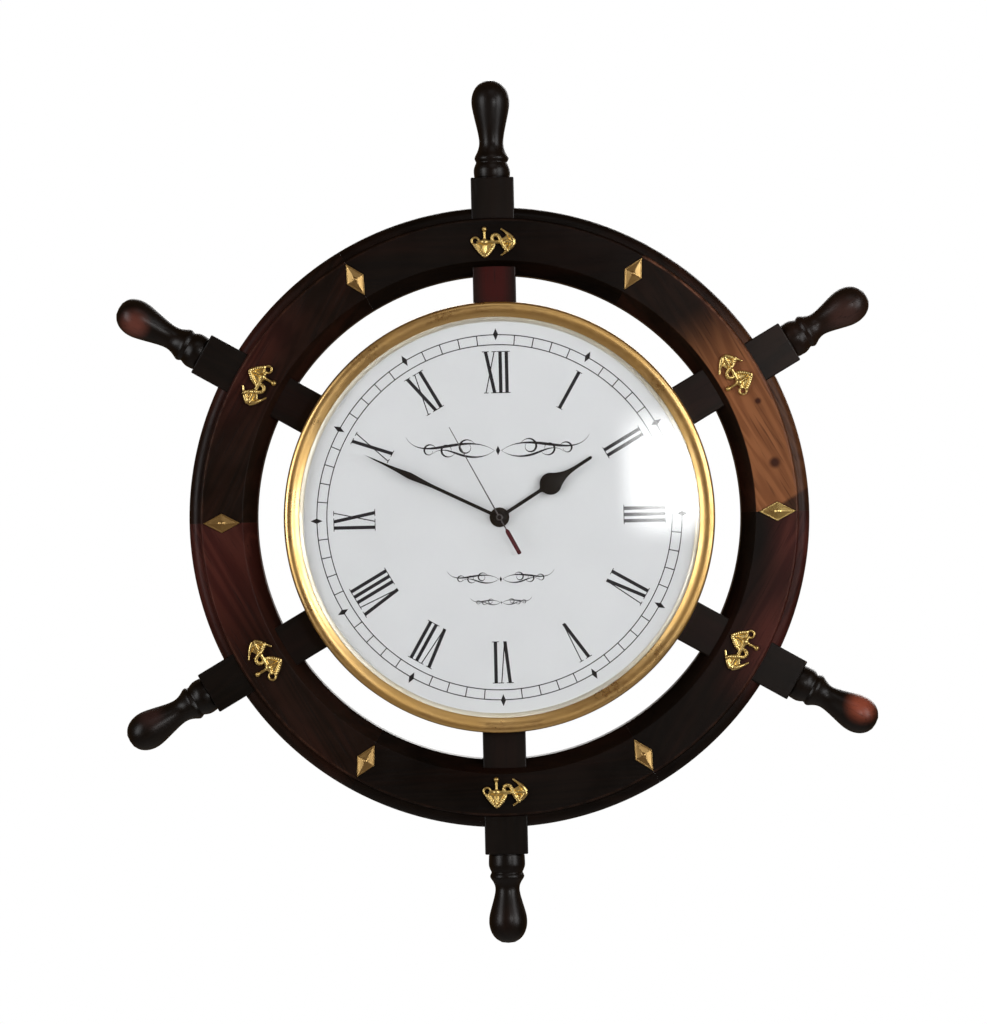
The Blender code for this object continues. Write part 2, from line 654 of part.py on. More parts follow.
def build_train():
    """Wheels from the rotor to the hands. Each stands in mesh with the one that drives it."""
    overlap = 0.2

    third_pinion = meshing_phase(PINION_LEAVES, THIRD_DIRECTION, MINUTE_TEETH, 0)
    minute = flat(
        "minute_wheel",
        [gear_outline(MINUTE_TEETH, MINUTE_MODULE, 0), circle(MINUTE_TUBE[0], 10)],
        LAYER_MINUTE,
        BRASS,
    )
    cannon = flat(
        "cannon_pinion",
        [gear_outline(CANNON_LEAVES, CANNON_MODULE, 0), circle(MINUTE_TUBE[0], 10)],
        LAYER_MOTION,
        BRASS,
    )
    tube_layer = (LAYER_MINUTE[0] + overlap, MINUTE_TUBE[2])
    tube = flat("minute_tube", [circle(MINUTE_TUBE[1], 12), circle(MINUTE_TUBE[0], 10)], tube_layer, BRASS)
    settled(join(minute, tube, cannon))

    teeth = gear_outline(THIRD_TEETH, THIRD_MODULE, 0)
    third = flat("third_wheel", [teeth], LAYER_THIRD, BRASS, THIRD_AXIS)
    leaves = gear_outline(PINION_LEAVES, MINUTE_MODULE, third_pinion)
    pinion = flat("third_pinion", [leaves], LAYER_MINUTE, BRASS, THIRD_AXIS)
    arbor = post("third_arbor", ARBOR, (PIVOT_BACK, PLATE_LAYER[1] - 0.1), BRASS, THIRD_AXIS, 8)
    settled(join(third, arbor, pinion))

    leaf = meshing_phase(PINION_LEAVES, THIRD_DIRECTION + math.pi, THIRD_TEETH, 0)
    teeth = gear_outline(SECONDS_TEETH, SECONDS_MODULE, 0)
    seconds = flat("seconds_wheel", [teeth], LAYER_SECONDS, NYLON)
    leaves = gear_outline(PINION_LEAVES, THIRD_MODULE, leaf)
    pinion = flat("seconds_pinion", [leaves], LAYER_THIRD, NYLON)
    arbor = post("seconds_arbor", ARBOR, (PIVOT_BACK, SECONDS_ARBOR_FRONT), NYLON, (0, 0), 8)
    settled(join(seconds, arbor, pinion))

    leaf = meshing_phase(PINION_LEAVES, INTERMEDIATE_DIRECTION, SECONDS_TEETH, 0)
    bore = circle(ARBOR, 8)
    layer = LAYER_INTERMEDIATE
    teeth = gear_outline(INTERMEDIATE_TEETH, INTERMEDIATE_MODULE, 0)
    wheel = flat("intermediate_wheel", [teeth, bore], layer, NYLON, INTERMEDIATE_AXIS)
    layer = (LAYER_INTERMEDIATE[1] - overlap, LAYER_SECONDS[1])
    leaves = gear_outline(PINION_LEAVES, SECONDS_MODULE, leaf)
    pinion = flat("intermediate_pinion", [leaves, bore], layer, NYLON, INTERMEDIATE_AXIS)
    settled(join(wheel, pinion))

    leaf = meshing_phase(PINION_LEAVES, ROTOR_DIRECTION, INTERMEDIATE_TEETH, 0)
    rotor = post("rotor", ROTOR_MAGNET, ROTOR_MAGNET_LAYER, MAGNET, ROTOR_AXIS, 20)
    leaves = gear_outline(PINION_LEAVES, INTERMEDIATE_MODULE, leaf)
    pinion = flat("rotor_pinion", [leaves], LAYER_INTERMEDIATE, NYLON, ROTOR_AXIS)
    arbor = post("rotor_arbor", 0.4, (PIVOT_BACK, PLATE_LAYER[1] - 0.1), NYLON, ROTOR_AXIS, 8)
    settled(join(rotor, arbor, pinion))

    rest = meshing_phase(MOTION_TEETH, MOTION_DIRECTION, CANNON_LEAVES, 0)
    teeth = gear_outline(MOTION_TEETH, CANNON_MODULE, rest)
    motion = flat("motion_wheel", [teeth], LAYER_MOTION, NYLON, MOTION_AXIS)
    layer = (LAYER_MOTION[1] - overlap, LAYER_HOUR[1])
    leaves = gear_outline(MOTION_LEAVES, HOUR_MODULE, 0)
    pinion = flat("motion_pinion", [leaves], layer, NYLON, MOTION_AXIS)
    arbor = post("motion_arbor", ARBOR, (LAYER_MOTION[0] - 0.2, CASE_FRONT - 0.8), NYLON, MOTION_AXIS, 8)
    settled(join(motion, pinion, arbor))

    leaf = meshing_phase(HOUR_TEETH, MOTION_DIRECTION + math.pi, MOTION_LEAVES, 0)
    bore = circle(HOUR_TUBE[0], 12)
    hour = flat("hour_wheel", [gear_outline(HOUR_TEETH, HOUR_MODULE, leaf), bore], LAYER_HOUR, NYLON)
    tube_layer = (LAYER_HOUR[0] + overlap, HOUR_TUBE[2])
    tube = flat("hour_tube", [circle(HOUR_TUBE[1], 12), bore], tube_layer, NYLON)
    settled(join(hour, tube))

    grip = [(0, 16.5), (5.0, 16.5), (5.5, 17.0), (5.5, 20.4), (5.0, 20.8)]
    knob = [*grip, (1.2, 20.8), (1.2, 29.9), (0, 29.9)]
    turned("setting_knob", knob, 16, CASE_BLACK, (*MOTION_AXIS, 0))


# ---- Movement: case, motor, battery -------------------------------------------------------------
def build_case():
    low = (-CASE_HALF_WIDTH, CASE_BOTTOM, CASE_BACK)
    high = (CASE_HALF_WIDTH, CASE_TOP, CASE_FRONT)
    case = block("movement_case", low, high, CASE_BLACK, 3.0, along=2, segments=2)
    inside = CASE_HALF_WIDTH - CASE_WALL
    floor = CASE_FRONT - CASE_WALL
    low, high = (-inside, BAY_WALL[1], 0), (inside, CASE_TOP - CASE_WALL, floor)
    train_room = block("train_room", low, high, CASE_BLACK, 2.0, along=2)
    low, high = (-inside, CASE_BOTTOM + CASE_WALL, 0), (inside, BAY_WALL[0], floor)
    battery_bay = block("battery_bay", low, high, CASE_BLACK, 1.0, along=2)
    shaft_hole = post("case_centre_hole", CENTRE_HOLE, (30, 40), CASE_BLACK)
    motion_hole = post("case_motion_pivot", PIVOT_HOLE, (30, floor + 0.7), CASE_BLACK, MOTION_AXIS, 8)
    settled(cut(case, train_room, battery_bay, shaft_hole, motion_hole))


def build_cover():
    side = CASE_HALF_WIDTH - CASE_WALL - GAP
    low = (-side, BAY_WALL[1] + GAP, CASE_BACK)
    high = (side, CASE_TOP - CASE_WALL - GAP, CASE_BACK + CASE_WALL)
    cover = block("movement_cover", low, high, CASE_BLACK, 2.0, along=2)
    layer = (CASE_BACK + 0.4, LAYER_SECONDS[1] + 0.3)
    stud = post("intermediate_stud", ARBOR - 0.1, layer, CASE_BLACK, INTERMEDIATE_AXIS, 8)
    join(cover, stud)
    cut(cover, post("knob_hole", 1.6, (15, 25), CASE_BLACK, MOTION_AXIS))
    for name, axis in (("third", THIRD_AXIS), ("seconds", (0, 0)), ("rotor", ROTOR_AXIS)):
        cut(cover, post(f"{name}_pivot_hole", PIVOT_HOLE, (CASE_BACK + 0.6, 23.5), CASE_BLACK, axis, 8))
    settled(cover)


def build_train_plate():
    left, right, bottom, top = (-12.8, 17.0, -11.6, 18.3)
    holes = [circle(MINUTE_TUBE[1] + 0.4, 12), circle(1.6, 12, MOTION_AXIS)]
    holes += [circle(PIVOT_HOLE, 8, axis) for axis in (THIRD_AXIS, ROTOR_AXIS)]
    plate = flat("train_plate", [rectangle(left, right, bottom, top), *holes], PLATE_LAYER, NYLON)
    for x in (left + 1.8, right - 1.5):
        for y in (bottom + 1.6, top - 1.5):
            layer = (PLATE_LAYER[0] + 0.2, CASE_FRONT - CASE_WALL - GAP)
            pillar = post(f"pillar_{x}_{y}", 1.2, layer, NYLON, (x, y), 8)
            join(plate, pillar)
    settled(plate)


def build_motor():
    outline = [(2.4, 9.3), (25.2, 9.3), (25.2, 24.6), (22.4, 24.6)]
    outline += [(22.4, 18.9), (4.7, 18.9), (4.7, 24.6), (2.4, 24.6)]
    flat("stator", [outline, circle(ROTOR_MAGNET + 0.7, 16, ROTOR_AXIS)], (27.2, 27.8), STEEL)
    half = 8.4
    winding = half - 1
    spool = [(0, -half), (3.1, -half), (3.1, -winding), (2.7, -winding)]
    spool += [(2.7, winding), (3.1, winding), (3.1, half), (0, half)]
    turned("coil", spool, 16, COPPER, (13.55, 22.3, 27.5), (0, math.pi / 2, 0))

    block("circuit_board", (-26.2, -9.4, 31.0), (-13.4, 22.0, 31.8), BOARD_GREEN)
    crystal = [(0, -3.2), (1.0, -3.2), (1.0, 2.9), (0.7, 3.2), (0, 3.2)]
    turned("quartz_crystal", crystal, 12, STEEL, (-19.0, 12.0, 29.6), (-math.pi / 2, 0, 0))


def build_battery():
    length = BATTERY_LENGTH
    shoulder = length - BATTERY_NUB
    can = [(0, 0), (6.7, 0), (BATTERY_RADIUS, 0.5), (BATTERY_RADIUS, shoulder - 0.5), (6.7, shoulder)]
    can += [(2.75, shoulder), (2.75, length), (0, length)]
    place = (BATTERY_MINUS_X, BATTERY_Y, BATTERY_HEIGHT)
    turned("battery", can, 24, BATTERY_SKIN, place, (0, math.pi / 2, 0))

    plate_x = BATTERY_MINUS_X + length + GAP
    low = (plate_x, BATTERY_Y - 4.5, BATTERY_HEIGHT - 5)
    high = (plate_x + 0.4, BATTERY_Y + 4.5, BATTERY_HEIGHT + 5)
    block("battery_contact_positive", low, high, STEEL)

    curve = bpy.data.curves.new("battery_contact_negative", "CURVE")
    curve.dimensions = "3D"
    curve.bevel_depth = MM * 0.22
    curve.bevel_resolution = 0
    curve.use_fill_caps = True
    turns, per_turn = 2.5, 10
    count = int(turns * per_turn) + 1
    spline = curve.splines.new("POLY")
    spline.points.add(count - 1)
    for index, point in enumerate(spline.points):
        share = index / (count - 1)
        angle = 2 * math.pi * turns * share
        radius = 4.5 - 2.6 * share
        x = MM * (-26.5 + 1.35 * share)
        point.co = (x, MM * radius * math.cos(angle), MM * radius * math.sin(angle), 1)
    spring = bpy.data.objects.new("battery_contact_negative", curve)
    link(spring, STEEL, (0, BATTERY_Y, BATTERY_HEIGHT))
    settled(spring)


def build_dial_fixing():
    """Threaded bush through case and dial, with its rubber washer, brass washer and hexagon nut."""
    bore, outside, front = BUSH
    flange = CASE_FRONT - CASE_WALL - GAP
    bush = [(bore, flange - 0.5), (5.6, flange - 0.5), (5.6, flange)]
    bush += [(outside, flange), (outside, front), (bore, front)]
    turned("centre_bush", bush, 16, BRASS)
    hole = circle(CENTRE_HOLE, 12)
    flat("rubber_washer", [circle(9.0, 20), hole], (CASE_FRONT + GAP, BOARD_FRONT), RUBBER)
    flat("brass_washer", [circle(7.0, 20), hole], (DIAL_FRONT + GAP, DIAL_FRONT + 0.8), NUT_BLACK)
    flat("bush_nut", [circle(6.2, 6), hole], (DIAL_FRONT + 1.1, DIAL_FRONT + 3.1), NUT_BLACK)


# ---- Hanger -------------------------------------------------------------------------------------
def build_hanger():
    half = HANGER_WIDTH / 2
    end = HANGER_LENGTH / 2
    corner = 3.0
    right = arc((half - corner, -end + corner), corner, -90, 0, 3)
    right += arc((half - corner, end - corner), corner, 0, 90, 3)
    entry_y = -KEYHOLE_RISE / 2
    join_angle = math.degrees(math.acos(KEYHOLE_SLOT / KEYHOLE_ENTRY))
    entry = arc((0, entry_y), KEYHOLE_ENTRY, -90, join_angle, 6)
    slot = arc((0, entry_y + KEYHOLE_RISE), KEYHOLE_SLOT, 0, 90, 3)
    screws = [circle(2.2, 10, (0, side * HANGER_SCREW_SPREAD)) for side in (-1, 1)]
    outlines = [mirrored(right), mirrored(entry + slot), *screws]
    flat("hanger_plate", outlines, (0, HANGER_THICK), STEEL, (0, HANGER_Y))
    for index, side in enumerate((1, -1)):
        screw = [(0, 0), (1.9, 0.1), (1.9, 0.9), (1.5, 1.9), (1.5, 10.5), (0, 13)]
        place = (0, HANGER_Y + side * HANGER_SCREW_SPREAD, 0)
        turned(f"hanger_screw_{index + 1}", screw, 10, STEEL, place)


build_felloes()
build_spokes()
build_hub_ring()
build_diamonds()
build_anchors()
build_head()
build_hands()
build_train()
build_case()
build_cover()
build_train_plate()
build_motor()
build_battery()
build_dial_fixing()
build_hanger()
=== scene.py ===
"""Looks of the ship's-wheel wall clock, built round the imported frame.

Most pieces are drawn as on the workshop drawing: millimetres, X to the right and Y up as seen from
the front, Z as the height above the wall. The matrix FACE stands that drawing up in the frame.
"""
import math

import bmesh
import bpy
from mathutils import Matrix, Vector


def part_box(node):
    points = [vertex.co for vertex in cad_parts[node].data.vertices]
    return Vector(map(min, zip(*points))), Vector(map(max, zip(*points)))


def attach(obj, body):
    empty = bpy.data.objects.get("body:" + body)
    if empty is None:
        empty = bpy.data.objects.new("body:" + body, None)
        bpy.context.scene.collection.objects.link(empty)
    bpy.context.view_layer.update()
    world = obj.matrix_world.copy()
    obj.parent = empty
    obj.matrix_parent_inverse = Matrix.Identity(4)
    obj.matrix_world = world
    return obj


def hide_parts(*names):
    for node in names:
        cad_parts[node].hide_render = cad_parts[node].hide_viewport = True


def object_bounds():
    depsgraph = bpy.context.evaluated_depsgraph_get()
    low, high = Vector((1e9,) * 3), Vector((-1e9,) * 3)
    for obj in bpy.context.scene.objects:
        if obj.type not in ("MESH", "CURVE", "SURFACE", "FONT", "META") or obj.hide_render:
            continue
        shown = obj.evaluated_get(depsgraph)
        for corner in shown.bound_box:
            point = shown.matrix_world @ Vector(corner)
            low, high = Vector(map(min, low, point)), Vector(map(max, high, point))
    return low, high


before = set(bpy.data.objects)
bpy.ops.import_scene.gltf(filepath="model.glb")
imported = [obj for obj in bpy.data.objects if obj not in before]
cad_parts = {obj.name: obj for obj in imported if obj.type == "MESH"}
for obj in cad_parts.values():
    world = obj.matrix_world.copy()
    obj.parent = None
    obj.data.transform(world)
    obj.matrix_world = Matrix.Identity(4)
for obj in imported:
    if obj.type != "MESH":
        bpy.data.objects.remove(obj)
cad_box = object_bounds()

MM = 0.001
ROOT = "wheel_and_case"
SPOKES = 6
TURN = 360 / SPOKES
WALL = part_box("hub_ring")[1].y
FACE = Matrix.Translation((0, WALL, 0)) @ Matrix.Rotation(math.pi / 2, 4, "X")


# ---- Sizes read from the frame, in millimetres ----
def span(node):
    """Back and front of a node, as heights above the wall."""
    low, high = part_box(node)
    return (WALL - high.y) / MM, (WALL - low.y) / MM


def extent(node):
    """Left, right, bottom and top of a node on the drawing."""
    low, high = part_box(node)
    return low.x / MM, high.x / MM, low.z / MM, high.z / MM


def reach(node):
    """Radius of a round node on the clock's axis."""
    return extent(node)[1]


def middle(node):
    """Middle of a node as (x, y) on the drawing."""
    left, right, bottom, top = extent(node)
    return (left + right) / 2, (bottom + top) / 2


def far_and_near(node):
    """Least and greatest distance of a node's corners from the clock's axis."""
    radii = [math.hypot(corner.co.x, corner.co.z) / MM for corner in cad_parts[node].data.vertices]
    return min(radii), max(radii)


USUAL_TIP = 305.0           # a handle's end on the drawing, before its own difference is added
SPOKE_WIDTH = 2 * extent("spoke_1")[1]
SPOKE_DEPTH = span("spoke_1")[1]
SPOKE_INNER = extent("spoke_1")[2]
RIM_INNER, RIM_OUTER = far_and_near("felloe_1")
RIM_DEPTH = span("felloe_1")[1]
DIAMOND_AT = math.hypot(*middle("diamond_1"))
DIAMOND_LENGTH = 2 * (extent("diamond_2")[1] - middle("diamond_2")[0])
DIAMOND_WIDTH = 2 * (extent("diamond_2")[3] - middle("diamond_2")[1])
MOULDING_WIDTH = 8.8
BEVEL_WIDTH = 9.7
FACE_OUTER = RIM_OUTER - MOULDING_WIDTH
FACE_INNER = RIM_INNER + BEVEL_WIDTH
BEZEL_RADIUS = reach("bezel")
BEZEL_BACK, BEZEL_FRONT = span("bezel")
GLASS_RADIUS = reach("glass")
GLASS_BACK, GLASS_FRONT = span("glass")
DIAL_FRONT = span("dial_plate")[1]
SHOULDER = 240.4            # where a spoke's square bar ends
GAP = 0.3                   # clearance that pieces keep
HAIRLINE = 0.02             # a tight glued joint


# ---- Mesh helpers ----
def polar(radius, degrees):
    """A point at an angle counted clockwise from twelve, as on a clock."""
    angle = math.radians(degrees)
    return radius * math.sin(angle), radius * math.cos(angle)


def arc(centre, radius, start, end, steps):
    """Points on a circle or an ellipse, from start to end in degrees counted from +X."""
    across, up = radius if isinstance(radius, tuple) else (radius, radius)
    angles = [math.radians(start + (end - start) * step / steps) for step in range(steps + 1)]
    return [(centre[0] + across * math.cos(a), centre[1] + up * math.sin(a)) for a in angles]


def ring(radius, steps, centre=(0, 0)):
    return arc(centre, radius, 0, 360, steps)[:-1]


def rectangle(left, right, bottom, top):
    return [(left, bottom), (right, bottom), (right, top), (left, top)]


def diamond_outline(length, width):
    return [(0, -length / 2), (width / 2, 0), (0, length / 2), (-width / 2, 0)]


def catmull_rom(a, b, c, d, t):
    """One coordinate of a curve from b to c, with a before them and d after."""
    bend = 2 * a - 5 * b + 4 * c - d
    return 0.5 * (2 * b + (c - a) * t + bend * t**2 + (3 * b - a - 3 * c + d) * t**3)


def smooth_line(points, steps):
    """A Catmull-Rom curve through the points, with steps stretches between each two."""
    ends = [tuple(2 * a - b for a, b in zip(points[0], points[1]))]
    ends.append(tuple(2 * a - b for a, b in zip(points[-1], points[-2])))
    row = [ends[0], *points, ends[1]]
    line = []
    for stretch in zip(row, row[1:], row[2:], row[3:]):
        for step in range(steps):
            line.append(tuple(catmull_rom(*values, step / steps) for values in zip(*stretch)))
    return line + [points[-1]]


def placed(name, data, matrix):
    """A new object in the scene."""
    obj = bpy.data.objects.new(name, data)
    obj.matrix_world = matrix
    bpy.context.scene.collection.objects.link(obj)
    return obj


def to_object(name, work, matrix=FACE):
    """Turns a bmesh in millimetres into an object in the frame, with its faces pointing out."""
    bmesh.ops.remove_doubles(work, verts=work.verts, dist=1e-5)
    bmesh.ops.dissolve_degenerate(work, edges=work.edges, dist=1e-6)
    bmesh.ops.recalc_face_normals(work, faces=work.faces)
    bmesh.ops.scale(work, vec=(MM, MM, MM), verts=work.verts)
    mesh = bpy.data.meshes.new(name)
    work.to_mesh(mesh)
    work.free()
    return placed(name, mesh, matrix)


def add_skin(work, rows, loop=True, wrap=False):
    """Adds a surface through rows of points. loop closes each row, wrap joins the last to the first."""
    grid = [[work.verts.new(point) for point in row] for row in rows]
    for first, second in zip(grid, grid[1:] + (grid[:1] if wrap else [])):
        count = len(first)
        for index in range(count if loop else count - 1):
            other = (index + 1) % count
            work.faces.new((first[index], first[other], second[other], second[index]))
    if loop and not wrap:
        work.faces.new(grid[0][::-1])
        work.faces.new(grid[-1])


def add_lathe(work, profile, steps, place=Matrix.Identity(4), closed=None):
    """Adds a turned surface: (radius, height) points swept about the Z axis of place."""
    if closed is None:
        closed = min(radius for radius, _ in profile) > 1e-6
    rows = []
    for step in range(steps):
        angle = 2 * math.pi * step / steps
        row = [place @ Vector((r * math.cos(angle), r * math.sin(angle), h)) for r, h in profile]
        rows.append(row)
    add_skin(work, rows, loop=closed, wrap=True)


def walk(path):
    """Each point of a path, with the directions to its right and up from the wall."""
    points = [Vector(point) for point in path]
    for before, point, after in zip(points[:1] + points, points, points[1:] + points[-1:]):
        ahead = (after - before).normalized()
        side = ahead.cross(Vector((0, 0, 1))).normalized()
        yield point, side, side.cross(ahead)


def add_tube(work, path, radii, sides=8, flatten=1.0):
    """Adds a round bar along a path of 3D points; flatten squeezes it towards the wall."""
    rows = []
    for index, (point, side, up) in enumerate(walk(path)):
        radius = radii(index / (len(path) - 1)) if callable(radii) else radii
        row = []
        for step in range(sides):
            angle = 2 * math.pi * step / sides
            row.append(point + radius * (math.cos(angle) * side + flatten * math.sin(angle) * up))
        rows.append(row)
    add_skin(work, rows)


def add_ball(work, centre, radius, flatten=1.0):
    profile = arc((0, 0), (radius, radius * flatten), -90, 90, 6)
    profile = [(max(r, 0), h) for r, h in profile]
    add_lathe(work, profile, 12, Matrix.Translation(centre), closed=False)


def lathe(name, profile, steps, place=Matrix.Identity(4), matrix=FACE):
    work = bmesh.new()
    add_lathe(work, profile, steps, place)
    return to_object(name, work, matrix)


def plate(name, outlines, back, front, matrix=FACE, edge=0.0):
    """A flat piece between two heights, from closed 2D outlines, holes included, with rounded edges."""
    curve = bpy.data.curves.new(name, "CURVE")
    curve.dimensions = "2D"
    curve.fill_mode = "BOTH"
    curve.extrude = (front - back) / 2 - edge
    curve.bevel_depth = edge
    curve.bevel_resolution = 1 if edge else 0
    curve.offset = -edge
    for outline in outlines:
        spline = curve.splines.new("POLY")
        spline.points.add(len(outline) - 1)
        for point, (x, y) in zip(spline.points, outline):
            point.co = (x, y, 0, 1)
        spline.use_cyclic_u = True
    holder = placed(name, curve, matrix)
    mesh = mesh_of(holder)
    bpy.data.objects.remove(holder)
    bpy.data.curves.remove(curve)
    work = bmesh.new()
    work.from_mesh(mesh)
    bpy.data.meshes.remove(mesh)
    bmesh.ops.translate(work, vec=(0, 0, (back + front) / 2), verts=work.verts)
    return to_object(name, work, matrix)


def box(name, low, high, matrix=FACE):
    work = bmesh.new()
    bmesh.ops.create_cube(work, size=1)
    bmesh.ops.scale(work, vec=[h - l for l, h in zip(low, high)], verts=work.verts)
    bmesh.ops.translate(work, vec=[(l + h) / 2 for l, h in zip(low, high)], verts=work.verts)
    return to_object(name, work, matrix)


def mesh_of(obj):
    """A new mesh of an object as it stands, with its modifiers or its bevel worked in."""
    return bpy.data.meshes.new_from_object(obj.evaluated_get(bpy.context.evaluated_depsgraph_get()))


def applied(obj):
    """The object with its modifiers worked into its mesh."""
    mesh = mesh_of(obj)
    obj.modifiers.clear()
    old = obj.data
    obj.data = mesh
    bpy.data.meshes.remove(old)
    return obj


def carve(obj, *tools, operation="DIFFERENCE"):
    for tool in tools:
        boolean = obj.modifiers.new("carve", "BOOLEAN")
        boolean.operation = operation
        boolean.solver = "EXACT"
        boolean.object = tool
    applied(obj)
    for tool in tools:
        bpy.data.objects.remove(tool)
    return obj


def soften(obj, width, segments=2, angle=30, sharp=40, flats=False):
    """Rounds the edges of a piece and shades it smooth; flats keeps its flat faces flat."""
    if width:
        bevel = obj.modifiers.new("edges", "BEVEL")
        bevel.width = MM * width
        bevel.segments = segments
        bevel.limit_method = "ANGLE"
        bevel.angle_limit = math.radians(angle)
        bevel.miter_outer = "MITER_ARC"
        applied(obj)
    obj.data.shade_smooth()
    obj.data.set_sharp_from_angle(angle=math.radians(sharp))
    if width or flats:
        faces = obj.modifiers.new("faces", "WEIGHTED_NORMAL")
        faces.keep_sharp = True
        applied(obj)
    return obj


def fuse(obj, voxel):
    """Casts overlapping closed shapes into one skin."""
    remesh = obj.modifiers.new("cast", "REMESH")
    remesh.mode = "VOXEL"
    remesh.voxel_size = MM * voxel
    relax = obj.modifiers.new("relax", "SMOOTH")
    relax.factor = 0.5
    relax.iterations = 3
    applied(obj)
    obj.data.shade_smooth()
    return obj


def turned(degrees):
    """FACE, turned clockwise about the clock's axis."""
    return FACE @ Matrix.Rotation(-math.radians(degrees), 4, "Z")


SPOKE_PLACES = [turned(index * TURN) for index in range(SPOKES)]
JOINT_PLACES = [turned((index + 0.5) * TURN) for index in range(SPOKES)]


def paint(obj, material):
    obj.data.materials.clear()
    obj.data.materials.append(material)


def finished(obj, material, stands_for=(), body=ROOT):
    """Gives a piece its material and fixes it to its body."""
    paint(obj, material)
    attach(obj, body)
    if stands_for:
        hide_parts(*stands_for)
    return obj


def turned_piece(name, profile, steps, material, body, nodes=(), sharp=40):
    finished(soften(lathe(name, profile, steps), 0, sharp=sharp), material, nodes, body)


def copies(pattern, base, materials, node_base, places):
    """Six copies of a finished pattern round the wheel, each its own object with its own mesh."""
    for index, (material, place) in enumerate(zip(materials, places), 1):
        obj = placed(f"{base}_{index}", pattern.data.copy(), place)
        finished(obj, material, [f"{node_base}_{index}"])
    bpy.data.objects.remove(pattern)


# ---- Materials ----
def node(tree, kind, inputs=None, **settings):
    made = tree.nodes.new("ShaderNode" + kind)
    for key, value in settings.items():
        setattr(made, key, value)
    for key, value in (inputs or {}).items():
        if isinstance(value, bpy.types.NodeSocket):
            tree.links.new(value, made.inputs[key])
        else:
            made.inputs[key].default_value = value
    return made


def maths(tree, operation, first, second=0.0):
    return node(tree, "Math", {0: first, 1: second}, operation=operation).outputs[0]


def times(tree, first, second):
    return maths(tree, "MULTIPLY", first, second)


def away_from(tree, value, centre):
    """How far a value is from a centre, on either side."""
    return maths(tree, "ABSOLUTE", maths(tree, "SUBTRACT", value, centre))


def mix(tree, factor, first, second):
    """Mixes two colours, each a socket or an (r, g, b) triple."""
    made = node(tree, "Mix", data_type="RGBA")
    for name, value in (("Factor_Float", factor), ("A_Color", first), ("B_Color", second)):
        socket = next(s for s in made.inputs if s.identifier == name)
        if isinstance(value, bpy.types.NodeSocket):
            tree.links.new(value, socket)
        else:
            socket.default_value = value if isinstance(value, float) else (*value, 1)
    return next(s for s in made.outputs if s.identifier == "Result_Color")


def remap(tree, value, low, high, new_low=0.0, new_high=1.0):
    """Takes low..high to new_low..new_high along an S-curve."""
    inputs = {"Value": value, "From Min": low, "From Max": high, "To Min": new_low, "To Max": new_high}
    return node(tree, "MapRange", inputs, interpolation_type="SMOOTHSTEP").outputs[0]


def noise(tree, vector, scale, detail=3.0, roughness=0.5, distortion=0.0):
    inputs = {"Vector": vector, "Scale": scale, "Detail": detail, "Roughness": roughness}
    return node(tree, "TexNoise", {**inputs, "Distortion": distortion}).outputs["Fac"]


def position(tree):
    """Place in a piece's own frame, in metres."""
    return node(tree, "TexCoord").outputs["Object"]


def shifted(tree, seed=0.0, scale=(1, 1, 1)):
    """The position, scaled along each axis and moved by a seed."""
    inputs = {"Vector": position(tree), "Scale": scale, "Location": (seed, seed * 0.7, seed * 1.3)}
    return node(tree, "Mapping", inputs).outputs[0]


def distance_from(tree, x, y, z):
    """Distance in metres from a point given in millimetres."""
    inputs = {0: position(tree), 1: (MM * x, MM * y, MM * z)}
    return node(tree, "VectorMath", inputs, operation="DISTANCE").outputs["Value"]


def shader(name, **settings):
    """A new material with a Principled shader whose plain values are set from settings."""
    material = bpy.data.materials.new(name)
    material.use_nodes = True
    tree = material.node_tree
    principled = tree.nodes["Principled BSDF"]
    for key, value in settings.items():
        principled.inputs[key.replace("_", " ")].default_value = value
    return material, tree, principled


def surface(tree, principled, colour, rough, height, strength, distance=0.0001):
    """Gives a shader its colour, its roughness and a bump from height."""
    tree.links.new(colour, principled.inputs["Base Color"])
    tree.links.new(rough, principled.inputs["Roughness"])
    bump = node(tree, "Bump", {"Height": height, "Strength": strength, "Distance": distance})
    tree.links.new(bump.outputs[0], principled.inputs["Normal"])


